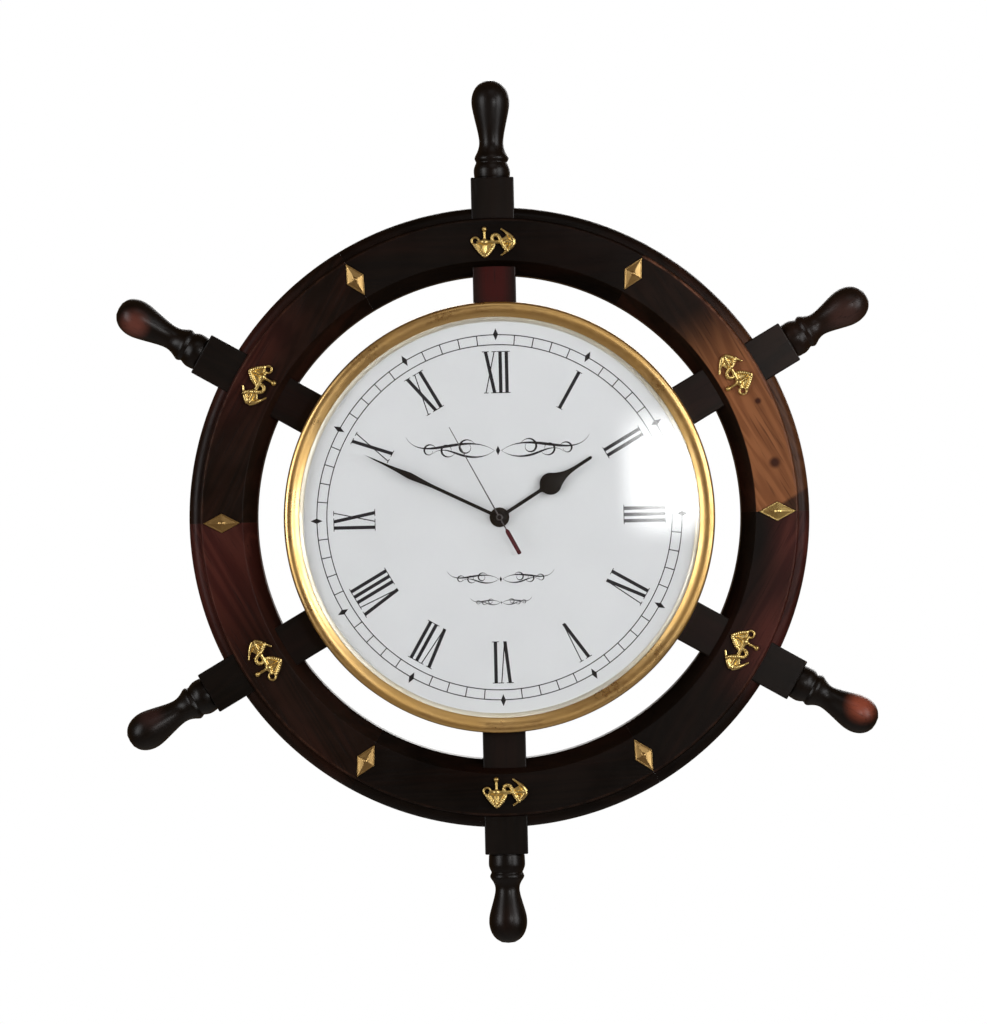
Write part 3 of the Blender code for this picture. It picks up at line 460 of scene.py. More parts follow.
def wood(name, tones, along, seed, streaks=0.3, gloss=0.26, coat=0.25, polish=0.16, patches=()):
    """Stained and lacquered wood. along is the grain's axis, 0 for X or 1 for Y.

    tones are its dark and light colours and that of its streaks, and streaks is how much they show.
    patches are functions of the tree, the colour so far and the grain, for knots, redder stretches and
    painted light and highlights.
    """
    dark, light, streak = tones
    lacquer = {"Coat_Weight": coat, "Coat_Roughness": polish, "Specular_IOR_Level": 0.1}
    material, tree, principled = shader(name, **lacquer)
    scales = [1.0, 1.0, 1.0]
    scales[along] = 0.09
    figure = noise(tree, shifted(tree, seed, scales), 38.0, 2.0, 0.45, 0.6)
    rings = maths(tree, "SINE", times(tree, figure, 58.0))
    rings = remap(tree, rings, -1.0, 1.0)
    cloud = noise(tree, shifted(tree, seed + 3), 14.0, 4.0, 0.6)
    scales[along] = 0.15
    bands = noise(tree, shifted(tree, seed + 5, scales), 45.0, 3.0, 0.55, 0.3)
    scales[along] = 0.035
    pores = noise(tree, shifted(tree, seed + 7, scales), 900.0, 2.0, 0.6)
    pores = remap(tree, pores, 0.56, 0.72)
    clouded = remap(tree, cloud, 0.38, 0.68, 0.0, 0.6)
    tone = maths(tree, "ADD", times(tree, rings, 0.4), clouded)
    colour = mix(tree, tone, dark, light)
    colour = mix(tree, remap(tree, bands, 0.45, 0.75, 0.0, streaks), colour, streak)
    for patch in patches:
        colour = patch(tree, colour, rings)
    colour = mix(tree, times(tree, pores, 0.5), colour, (0.002, 0.001, 0.0008))
    rough = remap(tree, cloud, 0.3, 0.7, gloss - 0.06, gloss + 0.12)
    rough = maths(tree, "ADD", rough, times(tree, pores, 0.15))
    height = maths(tree, "SUBTRACT", times(tree, rings, 0.3), pores)
    surface(tree, principled, colour, rough, height, 0.25, 0.0002)
    return material


def axis_distance(tree):
    """Distance from the clock's axis, then x and y, in metres in a piece's own frame."""
    x, y, _ = node(tree, "SeparateXYZ", {"Vector": position(tree)}).outputs
    square = maths(tree, "ADD", maths(tree, "POWER", x, 2.0), maths(tree, "POWER", y, 2.0))
    return maths(tree, "SQRT", square), x, y


def ridge_highlight(strength):
    """Painted highlight along the ridge between the rim's face and its moulding, where the rounded edge
    catches the light.
    """
    def patch(tree, colour, rings):
        radius, _, _ = axis_distance(tree)
        away = away_from(tree, radius, MM * (FACE_OUTER - 0.4))
        near = remap(tree, away, MM * 0.4, MM * 1.6, 1.0, 0.0)
        broken = noise(tree, shifted(tree, 5.0), 60.0, 4.0, 0.7)
        amount = times(tree, near, remap(tree, broken, 0.4, 0.65, 0.1 * strength, strength))
        # the lighter colour is a painted highlight
        return mix(tree, amount, colour, (0.2, 0.085, 0.05))
    return patch


def redder_stretch(centre, length, strength, inner_share):
    """A redder, lighter stretch of a felloe, strongest at the rim's outer edge."""
    def patch(tree, colour, rings):
        radius, x, _ = axis_distance(tree)
        mask = remap(tree, away_from(tree, x, MM * centre), 0.0, MM * length, strength, 0.0)
        mask = times(tree, mask, remap(tree, radius, MM * 184, MM * 206, inner_share, 1.0))
        return mix(tree, mask, colour, mix(tree, rings, (0.05, 0.011, 0.009), (0.078, 0.02, 0.015)))
    return patch


def window_light_and_knots(tree, colour, rings):
    """Painted window light: a pale, lit stretch of the face from just before the anchor to the joint, with
    two knots.
    """
    radius, x, _ = axis_distance(tree)
    start = remap(tree, x, MM * -58, MM * 6)
    edge = noise(tree, shifted(tree, 9.0, (0.4, 1, 1)), 45.0, 3.0)
    outer = remap(tree, radius, MM * (FACE_OUTER - 0.5), MM * (FACE_OUTER + 0.5), 1.0, 0.32)
    inner = remap(tree, radius, MM * (FACE_INNER - 0.5), MM * (FACE_INNER + 0.5))
    stop = remap(tree, x, MM * 93.5, MM * 96.5, 1.0, 0.15)
    mask = times(tree, times(tree, start, stop), times(tree, outer, inner))
    mask = times(tree, mask, remap(tree, edge, 0.25, 0.5, 0.75, 1.0))
    # the pale colour of the lit stretch is painted window light
    pale = mix(tree, rings, (0.24, 0.088, 0.033), (0.33, 0.128, 0.05))
    colour = mix(tree, mask, colour, pale)
    for across, along, size in ((67.7, 186.1, 3.4), (24.4, 198.5, 2.0)):
        distance = distance_from(tree, across, along, RIM_DEPTH)
        knot = remap(tree, distance, MM * size * 0.5, MM * size * 1.6, 0.95, 0.0)
        colour = mix(tree, knot, colour, (0.04, 0.01, 0.005))
    return colour


def tip_highlight(across, along, size, colour, strength):
    """A painted highlight on the front of a handle's swell, in a soft patch of radius size."""
    def patch(tree, base, rings):
        distance = distance_from(tree, across, along, SPOKE_DEPTH / 2 + 9)
        return mix(tree, remap(tree, distance, 0.25 * MM * size, MM * size, strength, 0.0), base, colour)
    return patch


def red_root(strength):
    """Redder colour between bezel and rim, fading towards the spoke's edges."""
    def patch(tree, colour, rings):
        _, x, y = axis_distance(tree)
        mask = remap(tree, y, MM * 176, MM * 190, strength, 0.0)
        aside = maths(tree, "ABSOLUTE", x)
        mask = times(tree, mask, remap(tree, aside, MM * 5, MM * 14, 1.0, 0.15))
        return mix(tree, mask, colour, (0.052, 0.0035, 0.003))
    return patch


def metal(name, colour, dull, rough, seed, grain=0.12, detail=5.0):
    """Polished metal with uneven lacquer. grain is its fine texture's strength, detail its clouds'."""
    material, tree, principled = shader(name, Metallic=1.0)
    cloud = noise(tree, shifted(tree, seed), 30.0, detail, 0.6)
    fine = noise(tree, shifted(tree, seed + 2), 400.0, 3.0, 0.6)
    shade = mix(tree, remap(tree, cloud, 0.35, 0.75), colour, dull)
    uneven = remap(tree, cloud, 0.3, 0.7, rough - 0.05, rough + 0.08)
    uneven = maths(tree, "ADD", uneven, remap(tree, fine, 0.3, 0.7, -0.03, 0.05))
    surface(tree, principled, shade, uneven, fine, grain)
    return material


def moulded(name, colour, rough, seed, grain=900.0, strength=0.15, specular=0.5, mottle=0.82):
    """Moulded plastic, rubber or paint: a fine skin texture and slight unevenness."""
    material, tree, principled = shader(name, Specular_IOR_Level=specular)
    cloud = noise(tree, shifted(tree, seed), 25.0, 4.0)
    skin = noise(tree, shifted(tree, seed + 1), grain, 2.0)
    shade = mix(tree, remap(tree, cloud, 0.3, 0.7), colour, [mottle * value for value in colour])
    uneven = remap(tree, skin, 0.3, 0.7, rough - 0.06, rough + 0.08)
    surface(tree, principled, shade, uneven, skin, strength)
    return material


def clear_glass():
    """Clear glass that lets lamps through to the dial."""
    material, tree, principled = shader("dome_glass", Roughness=0.0, IOR=1.5, Transmission_Weight=1.0)
    principled.inputs["Base Color"].default_value = (0.985, 0.995, 0.99, 1)
    path = node(tree, "LightPath").outputs["Is Shadow Ray"]
    lamp = node(tree, "BsdfTransparent", {"Color": (0.97, 0.98, 0.975, 1)})
    both = node(tree, "MixShader", {0: path, 1: principled.outputs[0], 2: lamp.outputs[0]})
    tree.links.new(both.outputs[0], tree.nodes["Material Output"].inputs["Surface"])
    return material


BLACK = (0.002, 0.0011, 0.0007)
DARK = (0.0065, 0.0034, 0.002)
BROWN = (0.018, 0.0078, 0.0048)
RED = (0.042, 0.013, 0.008)

BRASS = metal("cast_brass", (0.84, 0.64, 0.25), (0.58, 0.41, 0.13), 0.29, 1.0, grain=0.06)
BEZEL_BRASS = metal("spun_brass", (0.88, 0.6, 0.25), (0.8, 0.51, 0.18), 0.31, 4.0, grain=0.02, detail=1.0)
# darker, duller brass: painted shade for the diamonds away from the window
SHADED_BRASS = metal("shaded_brass", (0.55, 0.37, 0.145), (0.36, 0.22, 0.08), 0.31, 9.0, grain=0.05)
# pale cream metal: partly the ring's own colour, partly a painted reflection of the white dial in its
# polished lip
PALE_BRASS = metal("satin_ring", (0.9, 0.85, 0.74), (0.84, 0.76, 0.6), 0.45, 5.0)
GEAR_BRASS = metal("stamped_brass", (0.85, 0.66, 0.33), (0.75, 0.54, 0.24), 0.3, 6.0)
BLACKENED = metal("blackened_brass", (0.03, 0.026, 0.024), (0.018, 0.016, 0.015), 0.4, 7.0)
STEEL = metal("zinc_steel", (0.6, 0.6, 0.62), (0.42, 0.42, 0.45), 0.34, 2.0)
MAGNET = metal("sintered_magnet", (0.16, 0.16, 0.17), (0.1, 0.1, 0.11), 0.5, 3.0)
COPPER = metal("copper_winding", (0.78, 0.33, 0.16), (0.55, 0.2, 0.09), 0.3, 8.0)
ENAMEL = moulded("dial_enamel", (0.79, 0.8, 0.825), 0.42, 1.0, 500.0, 0.05, 0.3, 0.975)
INK = moulded("dial_ink", (0.014, 0.014, 0.02), 0.45, 2.0, 700.0, 0.1, 0.2)
HAND_BLACK = moulded("hand_enamel", (0.005, 0.005, 0.006), 0.4, 3.0, 600.0, 0.08, 0.15)
NEEDLE_GREY = moulded("needle_enamel", (0.085, 0.075, 0.08), 0.35, 4.0, 600.0, 0.08)
TAIL_RED = moulded("tail_enamel", (0.075, 0.008, 0.014), 0.32, 5.0, 600.0, 0.08, 0.2)
BLACK_PLASTIC = moulded("case_plastic", (0.022, 0.022, 0.024), 0.48, 6.0)
NYLON = moulded("natural_nylon", (0.78, 0.77, 0.72), 0.48, 7.0)
RUBBER = moulded("washer_rubber", (0.022, 0.022, 0.022), 0.75, 8.0, 500.0, 0.3)
GREEN = moulded("solder_mask", (0.02, 0.145, 0.06), 0.38, 9.0)
SLEEVE = moulded("cell_sleeve", (0.055, 0.075, 0.145), 0.28, 10.0, 300.0, 0.05)
GLASS = clear_glass()


# ---- Wooden wheel ----
def rim_profile():
    """Section of the rim as (radius, height): flat back, moulded outer edge, flat face, inner bevel."""
    step, edge = 1.1, 1.0
    moulding_base, moulding_rise = 19.5, 7.7
    bevel_foot = 20.9
    moulding = (FACE_OUTER + step, moulding_base), (MOULDING_WIDTH - step, moulding_rise)
    section = arc((RIM_INNER + edge, edge), edge, 180, 270, 3)
    section += arc((RIM_OUTER - edge, edge), edge, -90, 0, 3)
    section += arc(*moulding, 0, 90, 10)
    section += arc((FACE_OUTER - edge, RIM_DEPTH - edge), edge, 0, 90, 4)
    section += arc((FACE_INNER + 0.3, RIM_DEPTH - 0.6), 0.6, 90, 135, 3)
    return section + [(RIM_INNER + 0.5, bevel_foot + 0.7), (RIM_INNER, bevel_foot)]


def build_felloes():
    """Six rim segments, each notched from behind over its spoke and let in for half of two diamonds."""
    profile = rim_profile()
    half_turn = TURN / 2 - math.degrees(HAIRLINE / 2 / ((RIM_INNER + RIM_OUTER) / 2))
    steps = 60
    rows = []
    for step in range(steps + 1):
        degrees = -half_turn + 2 * half_turn * step / steps
        rows.append([(*polar(radius, degrees), height) for radius, height in profile])
    work = bmesh.new()
    add_skin(work, rows)
    felloe = to_object("felloe_pattern", work)
    notch = SPOKE_WIDTH / 2 + HAIRLINE
    past = 9
    low, high = (-notch, RIM_INNER - past, -past), (notch, RIM_OUTER + past, SPOKE_DEPTH + HAIRLINE)
    tools = [box("notch", low, high)]
    outline = diamond_outline(DIAMOND_LENGTH + 1.2, DIAMOND_WIDTH + 0.7)
    floor = span("diamond_1")[0] - GAP
    for side in (-1, 1):
        place = turned(side * TURN / 2) @ Matrix.Translation((0, MM * DIAMOND_AT, 0))
        tools.append(plate(f"pocket_{side}", [outline], floor, RIM_DEPTH + past, place))
    carve(felloe, *tools)
    soften(felloe, 0.3)
    woods = (               # dark and light tone, streaks and patches of each felloe
        (BLACK, DARK, 0.15, [ridge_highlight(0.05)]),
        # felloe 2: its lighter tones, pale stretch and strong ridge highlight are painted window light
        (DARK, BROWN, 0.6, [window_light_and_knots, ridge_highlight(1.0)]),
        # felloe 3: its redder stretches on the moulding are painted light from the right
        (BLACK, DARK, 0.3, [redder_stretch(-85, 50, 1.0, 0.0), redder_stretch(-18, 62, 1.0, 0.1), ridge_highlight(0.2)]),
        (BLACK, DARK, 0.15, [ridge_highlight(0.1)]),
        (DARK, BROWN, 0.4, [redder_stretch(80, 95, 1.0, 0.8), ridge_highlight(0.2)]),
        (DARK, BROWN, 0.5, [redder_stretch(10, 70, 0.6, 0.15), ridge_highlight(0.2)]),
    )
    materials = []
    for number, (dark, light, streaks, patches) in enumerate(woods, 1):
        materials.append(wood(
            f"rim_wood_{number}", (dark, light, RED), 0, float(number), streaks,
            gloss=0.34, coat=0.08, polish=0.34, patches=patches,
        ))
    copies(felloe, "rim_felloe", materials, "felloe", SPOKE_PLACES)


# Radius and distance from the hands' axis, along a handle of the usual length. What a handle has more
# or less than that is spread between NECK and SWELL.
HANDLE = [
    (12.9, 244.6), (12.8, 247.0), (12.0, 249.6), (11.1, 251.6), (11.6, 252.8), (12.1, 254.3), (11.8, 255.8),
    (10.4, 258.2), (9.4, 260.3), (8.8, 262.4), (8.6, 265.0), (9.1, 268.8), (10.1, 273.1), (11.2, 277.3),
    (12.3, 281.6), (13.2, 285.8), (13.5, 289.4), (13.3, 292.6), (12.4, 296.2), (10.8, 299.4), (8.3, 302.2),
    (4.8, 304.3),
]
NECK, SWELL = 255.0, 285.0


def tip_of(index):
    """Distance of a handle's end from the axis of the hands."""
    return far_and_near(f"spoke_{index}")[1]


def build_spoke(index):
    """Square bar with a turned handle: collar, quirk, bead, waist, swell and rounded end."""
    half = SPOKE_WIDTH / 2
    extra = tip_of(index) - USUAL_TIP
    shoulder = SHOULDER + 0.7 * min(0, extra)
    low, high = (-half, SPOKE_INNER, 0), (half, shoulder, SPOKE_DEPTH)
    spoke = box(f"turned_spoke_{index}", low, high, SPOKE_PLACES[index - 1])
    soften(spoke, 0.9, 3)
    swell = []
    for radius, along in smooth_line(HANDLE, 3):
        share = min(1, max(0, (along - NECK) / (SWELL - NECK)))
        swell.append((radius, along + share * extra))
    tenon, inside = 12.2, shoulder - 9
    root = [(0, inside), (tenon, inside), (tenon, shoulder + 0.6), (tenon + 0.5, shoulder + 1.4)]
    profile = root + swell + [(0, USUAL_TIP + extra)]
    stand = Matrix.Translation((0, 0, SPOKE_DEPTH / 2)) @ Matrix.Rotation(-math.pi / 2, 4, "X")
    handle = lathe("handle_tool", profile, 64, stand, SPOKE_PLACES[index - 1])
    carve(spoke, handle, operation="UNION")
    if index == 1:
        carve_hanger_recess(spoke)
    return soften(spoke, 0, sharp=35, flats=True)


def carve_hanger_recess(spoke):
    """Lets the hanger plate in flush, with a deeper cavity for the head of the wall's screw."""
    _, centre = middle("hanger_plate")
    left, right, bottom, top = extent("hanger_plate")
    recess = box("recess", (left - GAP, bottom - GAP, -4), (right + GAP, top + GAP, 1.8))
    cavity = box("cavity", (-5.6, centre - 11, 0), (5.6, centre + 13, 9))
    carve(spoke, recess, cavity)


def build_spokes():
    """Six spokes, each with its own painted highlight on the handle, and the top one redder at its root."""
    tip_highlights = (                # across, along, size, colour and strength of the painted highlight
        (0, 286, 14, (0.01, 0.009, 0.009), 0.5), (5, 283, 17, (0.06, 0.028, 0.023), 0.9),
        (-6, 289, 15, (0.32, 0.075, 0.04), 1.0), (2, 284, 14, (0.014, 0.006, 0.004), 0.6),
        (8, 284, 13, (0.045, 0.02, 0.018), 0.7), (-5, 292, 14, (0.16, 0.05, 0.036), 1.0),
    )
    roots = (0.9, 0.1, 0.1, 0.05, 0.05, 0.1)
    pale_spoke = 2
    for index, (highlight_spot, root) in enumerate(zip(tip_highlights, roots), 1):
        dark, light = (DARK, BROWN) if index == pale_spoke else (BLACK, DARK)
        material = wood(
            f"spoke_wood_{index}", (dark, light, BROWN), 1, 10.0 + index, streaks=0.25,
            gloss=0.38, coat=0.35, polish=0.3, patches=(tip_highlight(*highlight_spot), red_root(root)),
        )
        finished(build_spoke(index), material, [f"spoke_{index}"])


def build_hub_ring():
    """Slotted wooden disc behind the clock head."""
    bore, outer = 46.0, reach("hub_ring")
    hub = lathe("hub_disc", rectangle(bore, outer, 0, SPOKE_DEPTH), 144)
    half = SPOKE_WIDTH / 2 + GAP
    low, high = (-half, SPOKE_INNER - GAP, -4), (half, outer + 20, SPOKE_DEPTH + 4)
    carve(hub, *[box("slot", low, high, place) for place in SPOKE_PLACES])
    soften(hub, 0.6)
    material = wood("hub_wood", (DARK, BROWN, RED), 0, 21.0, gloss=0.42, coat=0.15)
    finished(hub, material, ["hub_ring"])


# ---- Brass fittings on the rim ----
def build_diamonds():
    """Faceted plates with a narrow border and a domed pin."""
    back, front = span("diamond_2")[0], RIM_DEPTH + 0.9
    top = front + 0.75
    rim = [(1.0, back), (1.0, front - 0.5), (0.965, front - 0.2), (0.86, front - 0.2)]
    work = bmesh.new()
    rows = []
    for share, height in rim + [(0.82, front - 0.45), (0.26, top)]:
        outline = diamond_outline(DIAMOND_LENGTH * share, DIAMOND_WIDTH * share)
        rows.append([(x, y, height) for x, y in outline])
    add_skin(work, rows)
    diamond = to_object("diamond_pattern", work)
    soften(diamond, 0.12, 2, angle=12, sharp=50)
    pin_radius, brow = 1.7, top - 0.3
    pin = [(0, top - 1.6), (pin_radius, top - 1.6), (pin_radius, brow)]
    pin += arc((0, brow), (pin_radius, 1.1), 0, 90, 6)
    carve(diamond, lathe("pin", pin, 24), operation="UNION")
    soften(diamond, 0, sharp=28)
    diamond.data.transform(Matrix.Translation((0, MM * DIAMOND_AT, 0)))
    # five diamonds get the darker brass as painted shade; the one facing the window keeps the bright brass
    materials = [SHADED_BRASS, BRASS] + [SHADED_BRASS] * 4
    copies(diamond, "brass_diamond", materials, "diamond", JOINT_PLACES)


def add_rope(work, path, radius, pitch):
    """Three strands laid round a path."""
    line = smooth_line(path, 10)
    lengths = [0.0]
    for a, b in zip(line, line[1:]):
        lengths.append(lengths[-1] + (Vector(b) - Vector(a)).length)
    for strand in range(3):
        points = []
        for (point, side, up), length in zip(walk(line), lengths):
            angle = 2 * math.pi * (length / pitch + strand / 3)
            points.append(point + 0.55 * radius * (math.cos(angle) * side + math.sin(angle) * up))
        add_tube(work, points, 0.62 * radius, 8)


def anchor_shape(level):
    """One casting, heading along +X: shank, ring, stock, two arms, a rope fouled round them, webs."""
    def lifted(points):
        return [(x, y, level + rise) for x, y, rise in points]

    work = bmesh.new()
    add_tube(work, lifted([(-11.0, 0.6, 0), (-6, 0.2, 0.3), (4, 0, 0.3), (14.0, 0, 0)]), 1.35, 12, 0.9)
    wire = [(2.5 + x, y) for x, y in ring(0.85, 12)]
    add_lathe(work, wire, 28, Matrix.Translation((-12.9, 1.0, level)))
    add_tube(work, lifted([(-6.3, -9.2, 0), (-6.3, 0, 0.4), (-6.3, 8.6, 0.2)]), 1.0, 12)
    add_ball(work, (-6.3, 9.2, level + 0.2), 2.0)
    add_ball(work, (-6.1, -9.6, level), 1.6)
    add_ball(work, (-6.3, 0.2, level + 0.2), 2.6, 0.8)
    add_ball(work, (13.9, 0, level), 1.9, 0.8)
    for side in (-1, 1):
        arm = [(14.9, side * 0.3, 0), (12.2, side * 3.6, 0), (8.9, side * 6.7, 0), (5.3, side * 9.4, 0)]
        add_tube(work, smooth_line(lifted(arm), 8), fluke_radius, 12, 0.85)
    drape = [
        (-13.2, -1.6, 0), (-11.2, -4.8, 0.2), (-8.6, -7.8, 0.5), (-6.0, -9.7, 1.1), (-3.4, -7.6, 0.6),
        (-1.0, -4.6, 0.3), (0.2, -1.6, -0.4), (-0.9, 1.6, 0), (-0.6, 4.0, 0.4), (1.2, 5.2, 0.6),
        (3.4, 4.4, 0.7), (4.7, 2.2, 1.2), (5.6, -0.2, 1.8), (6.9, -2.9, 1.0), (8.6, -5.2, 1.3),
        (10.2, -6.6, 1.1),
    ]
    add_rope(work, lifted(drape), 1.25, 4.6)
    for web in (
        [(-12.0, 0.8), (-11.0, -4.0), (-6.2, -9.0), (-1.6, -4.0), (-0.2, 0.8), (-6.2, 2.6)],
        [(4.6, 1.8), (5.8, -1.8), (9.6, -5.2), (13.6, -1.2), (13.6, 1.2), (9.6, 4.6)],
    ):
        add_skin(work, [[(x, y, level + rise) for x, y in web] for rise in (-1.2, -0.15)])
    return to_object("anchor_pattern", work)


def fluke_radius(share):
    """Radius of an anchor's arm, from its crown at 0 to its tip at 1."""
    return 1.05 + 0.75 * math.sin(math.pi * min(1, 0.25 + share)) - 0.35 * share


def build_anchors():
    """Anchors flat on the rim, pointing clockwise and anticlockwise in turn."""
    back = span("anchor_1")[0]
    pattern = fuse(anchor_shape(back + 1.1), 0.24)
    carve(pattern, box("flat_back", (-30, -30, back - 8), (30, 30, back)))
    soften(pattern, 0, sharp=50)
    stand = Matrix.Translation((0, MM * middle("anchor_1")[1], 0))
    places = []
    for index, place in enumerate(SPOKE_PLACES):
        places.append(place @ stand @ Matrix.Rotation(math.pi * (index % 2), 4, "Z"))
    copies(pattern, "brass_anchor", [BRASS] * SPOKES, "anchor", places)


# ---- Clock head ----
def dome(radius, base, rise):
    sphere = (GLASS_RADIUS**2 + rise**2) / (2 * rise)
    return base + math.sqrt(sphere**2 - radius**2) - (sphere - rise)


def build_glass():
    thickness = 2.0
    rise = GLASS_FRONT - GLASS_BACK - thickness
    steps = 36
    radii = [GLASS_RADIUS * step / steps for step in range(steps + 1)]
    outer = [(radius, dome(radius, GLASS_BACK + thickness, rise)) for radius in radii]
    inner = [(radius, dome(radius, GLASS_BACK, rise)) for radius in reversed(radii)]
    turned_piece("dome_glass", outer + inner, 192, GLASS, ROOT, ["glass"], 50)


def build_bezel():
    """Spun brass: skirt with a turned-in hem, and a fat bead that slopes in to the lip over the glass."""
    sheet = 1.2
    bead = 3.3
    bead_middle, bead_height = BEZEL_RADIUS - bead, BEZEL_FRONT - bead
    lip, lip_height = BEZEL_RADIUS - 10.7, bead_height + 0.9
    hem, round_off = 0.6, 0.3
    section = [
        (0, 0), (-0.3, 1.4), (-1.2, 2.5), (-2.7, 3.15), (-4.4, 3.3), (-6.2, 3.05), (-7.9, 2.5),
        (-9.3, 1.8), (-10.4, 1.2),
    ]
    outer = [(BEZEL_RADIUS, BEZEL_BACK + hem), (BEZEL_RADIUS, BEZEL_BACK + 3)]
    outer += smooth_line([(BEZEL_RADIUS + x, bead_height + y) for x, y in section], 4)
    outer += [(lip, lip_height)]
    inner = [(lip + x, lip_height + y) for x, y in ((0.1, -0.3), (1.2, -0.3), (3.0, 0.4))]
    inner += arc((bead_middle, bead_height), bead - sheet, 120, 0, 14)
    skirt = BEZEL_RADIUS - sheet
    inner += [(skirt, BEZEL_BACK + hem), (skirt + round_off, BEZEL_BACK)]
    inner += [(BEZEL_RADIUS - round_off, BEZEL_BACK)]
    turned_piece("spun_bezel", outer + inner, 288, BEZEL_BRASS, ROOT, ["bezel"], 45)


def build_dial_ring():
    """Pale ring under the glass, sloping in towards the dial; its cream colour is partly the ring's own and
    partly a painted reflection of the white dial.
    """
    back, front = span("dial_ring")
    inner, outer = far_and_near("dial_ring")
    ledge, foot = outer - 1.2, back + 0.3
    profile = [(inner, back), (outer, back), (outer, front), (ledge, front)]
    profile += arc((ledge, foot), (ledge - inner, front - foot), 90, 178, 8)
    turned_piece("sloping_ring", profile, 240, PALE_BRASS, ROOT, ["dial_ring"])


def build_board():
    """Plain disc behind the dial, with a square hole for the movement."""
    left, right, bottom, top = extent("movement_case")
    room = 1.5
    hole = rectangle(left - room, right + room, bottom - room, top + room)
    outline = ring(reach("backing_board"), 200)
    made = plate("backing_disc", [outline, hole], *span("backing_board"))
    soften(made, 0.4)
    tones = (0.085, 0.048, 0.026), (0.17, 0.1, 0.055), (0.15, 0.08, 0.045)
    board = wood("plain_board", tones, 0, 31.0, gloss=0.62, coat=0.0)
    finished(made, board, ["backing_board"])


# ---- Dial print ----
INK_BACK = DIAL_FRONT + 0.01
INK_FRONT = DIAL_FRONT + 0.06
NUMERAL_INNER = 87.3
NUMERAL_OUTER = 116.8
THICK = 2.4                 # widths of a numeral's strokes
THIN = 0.75
SERIF = 0.55                # height of a serif, and how far it stands out
SERIF_REACH = 1.25
SERIF_ENDS = NUMERAL_INNER + SERIF, NUMERAL_OUTER - SERIF


def add_patch(work, outline):
    """A thin raised patch of ink with the given convex outline."""
    rows = [[(x, y, height) for x, y in outline] for height in (INK_BACK, INK_FRONT)]
    add_skin(work, rows)


def swung(degrees, points):
    """Points of the dial, turned clockwise about its middle."""
    angle = math.radians(degrees)
    cos, sin = math.cos(angle), math.sin(angle)
    return [(x * cos + y * sin, y * cos - x * sin) for x, y in points]


def add_bar(work, degrees, foot, head, low, high, half):
    """A bar of a numeral from (foot, low) to (head, high), half its width to each side."""
    corners = [(foot - half, low), (foot + half, low), (head + half, high), (head - half, high)]
    add_patch(work, swung(degrees, corners))


# Each letter's width, its strokes as foot, head and width, and its serifs as place and width, at the
# foot and then at the head. Places count from the letter's middle.
LETTERS = {
    "I": (4.4, [(0, 0, THICK)], [(0, THICK)], [(0, THICK)]),
    "V": (9.6, [(0.3, -2.9, THICK), (0.6, 3.1, THIN)], [], [(-2.9, THICK), (3.1, THIN)]),
    "X": (
        10.2, [(3.0, -3.0, THICK), (-3.2, 3.2, THIN)],
        [(-3.0, THIN), (3.0, THICK)], [(-3.0, THICK), (3.0, THIN)],
    ),
}


def add_numeral(work, letters, hour):
    """Roman numeral with its foot towards the middle of the dial."""
    degrees = 30 * hour
    start = -sum(LETTERS[letter][0] for letter in letters) / 2
    for letter in letters:
        across, strokes, *serifs = LETTERS[letter]
        centre = start + across / 2
        for foot, head, width in strokes:
            ends = centre + foot, centre + head, NUMERAL_INNER, NUMERAL_OUTER
            add_bar(work, degrees, *ends, width / 2)
        for low, high, row in zip((NUMERAL_INNER, NUMERAL_OUTER), SERIF_ENDS, serifs):
            for x, width in row:
                add_bar(work, degrees, centre + x, centre + x, low, high, width / 2 + SERIF_REACH)
        start += across


def build_numerals():
    names = ("XII", "I", "II", "III", "IV", "V", "VI", "VII", "VIII", "IX", "X", "XI")
    for hour, letters in enumerate(names):
        work = bmesh.new()
        add_numeral(work, letters, hour)
        finished(to_object(f"numeral_{hour or 12}", work), INK)


def build_minute_track():
    """Two thin rings with a bar at each minute, and a lozenge at each fifth."""
    outer, inner, half = 128.4, 121.4, 0.35
    work = bmesh.new()
    for radius in (outer, inner):
        add_lathe(work, rectangle(radius - half, radius + half, INK_BACK, INK_FRONT), 360)
    for minute in range(60):
        corners = rectangle(-half, half, inner, outer)
        if minute % 5 == 0:
            corners = [(-1.8, outer + 0.3), (0, outer - 4.0), (1.8, outer + 0.3), (0, outer + 4.5)]
        add_patch(work, swung(6 * minute, corners))
    finished(to_object("minute_track", work), INK)


def scroll(start, heading, length, bend, width, steps=48):
    """A pen stroke as (points, widths): bend gives the curvature in degrees per mm along it, 0 to 1."""
    x, y = start
    angle = math.radians(heading)
    points, widths = [], []
    for step in range(steps + 1):
        share = step / steps
        points.append((x, y, 0))
        widths.append(width(share))
        angle += math.radians(bend(share)) * length / steps
        x += math.cos(angle) * length / steps
        y += math.sin(angle) * length / steps
    return points, widths


def add_pen_stroke(work, stroke, height, mirror):
    """Lays a stroke on the dial, on one side of its upright line."""
    points, widths = stroke
    rows = []
    for (point, side, _), width in zip(walk(points), widths):
        row = []
        for edge, ink in ((-1, INK_BACK), (1, INK_BACK), (1, INK_FRONT), (-1, INK_FRONT)):
            x, y, _ = point + edge * width / 2 * side
            row.append((mirror * x, y + height, ink))
        rows.append(row)
    add_skin(work, rows)


def swelling(most):
    hairline = 0.22
    return lambda share: hairline + (most - hairline) * math.sin(math.pi * share) ** 2


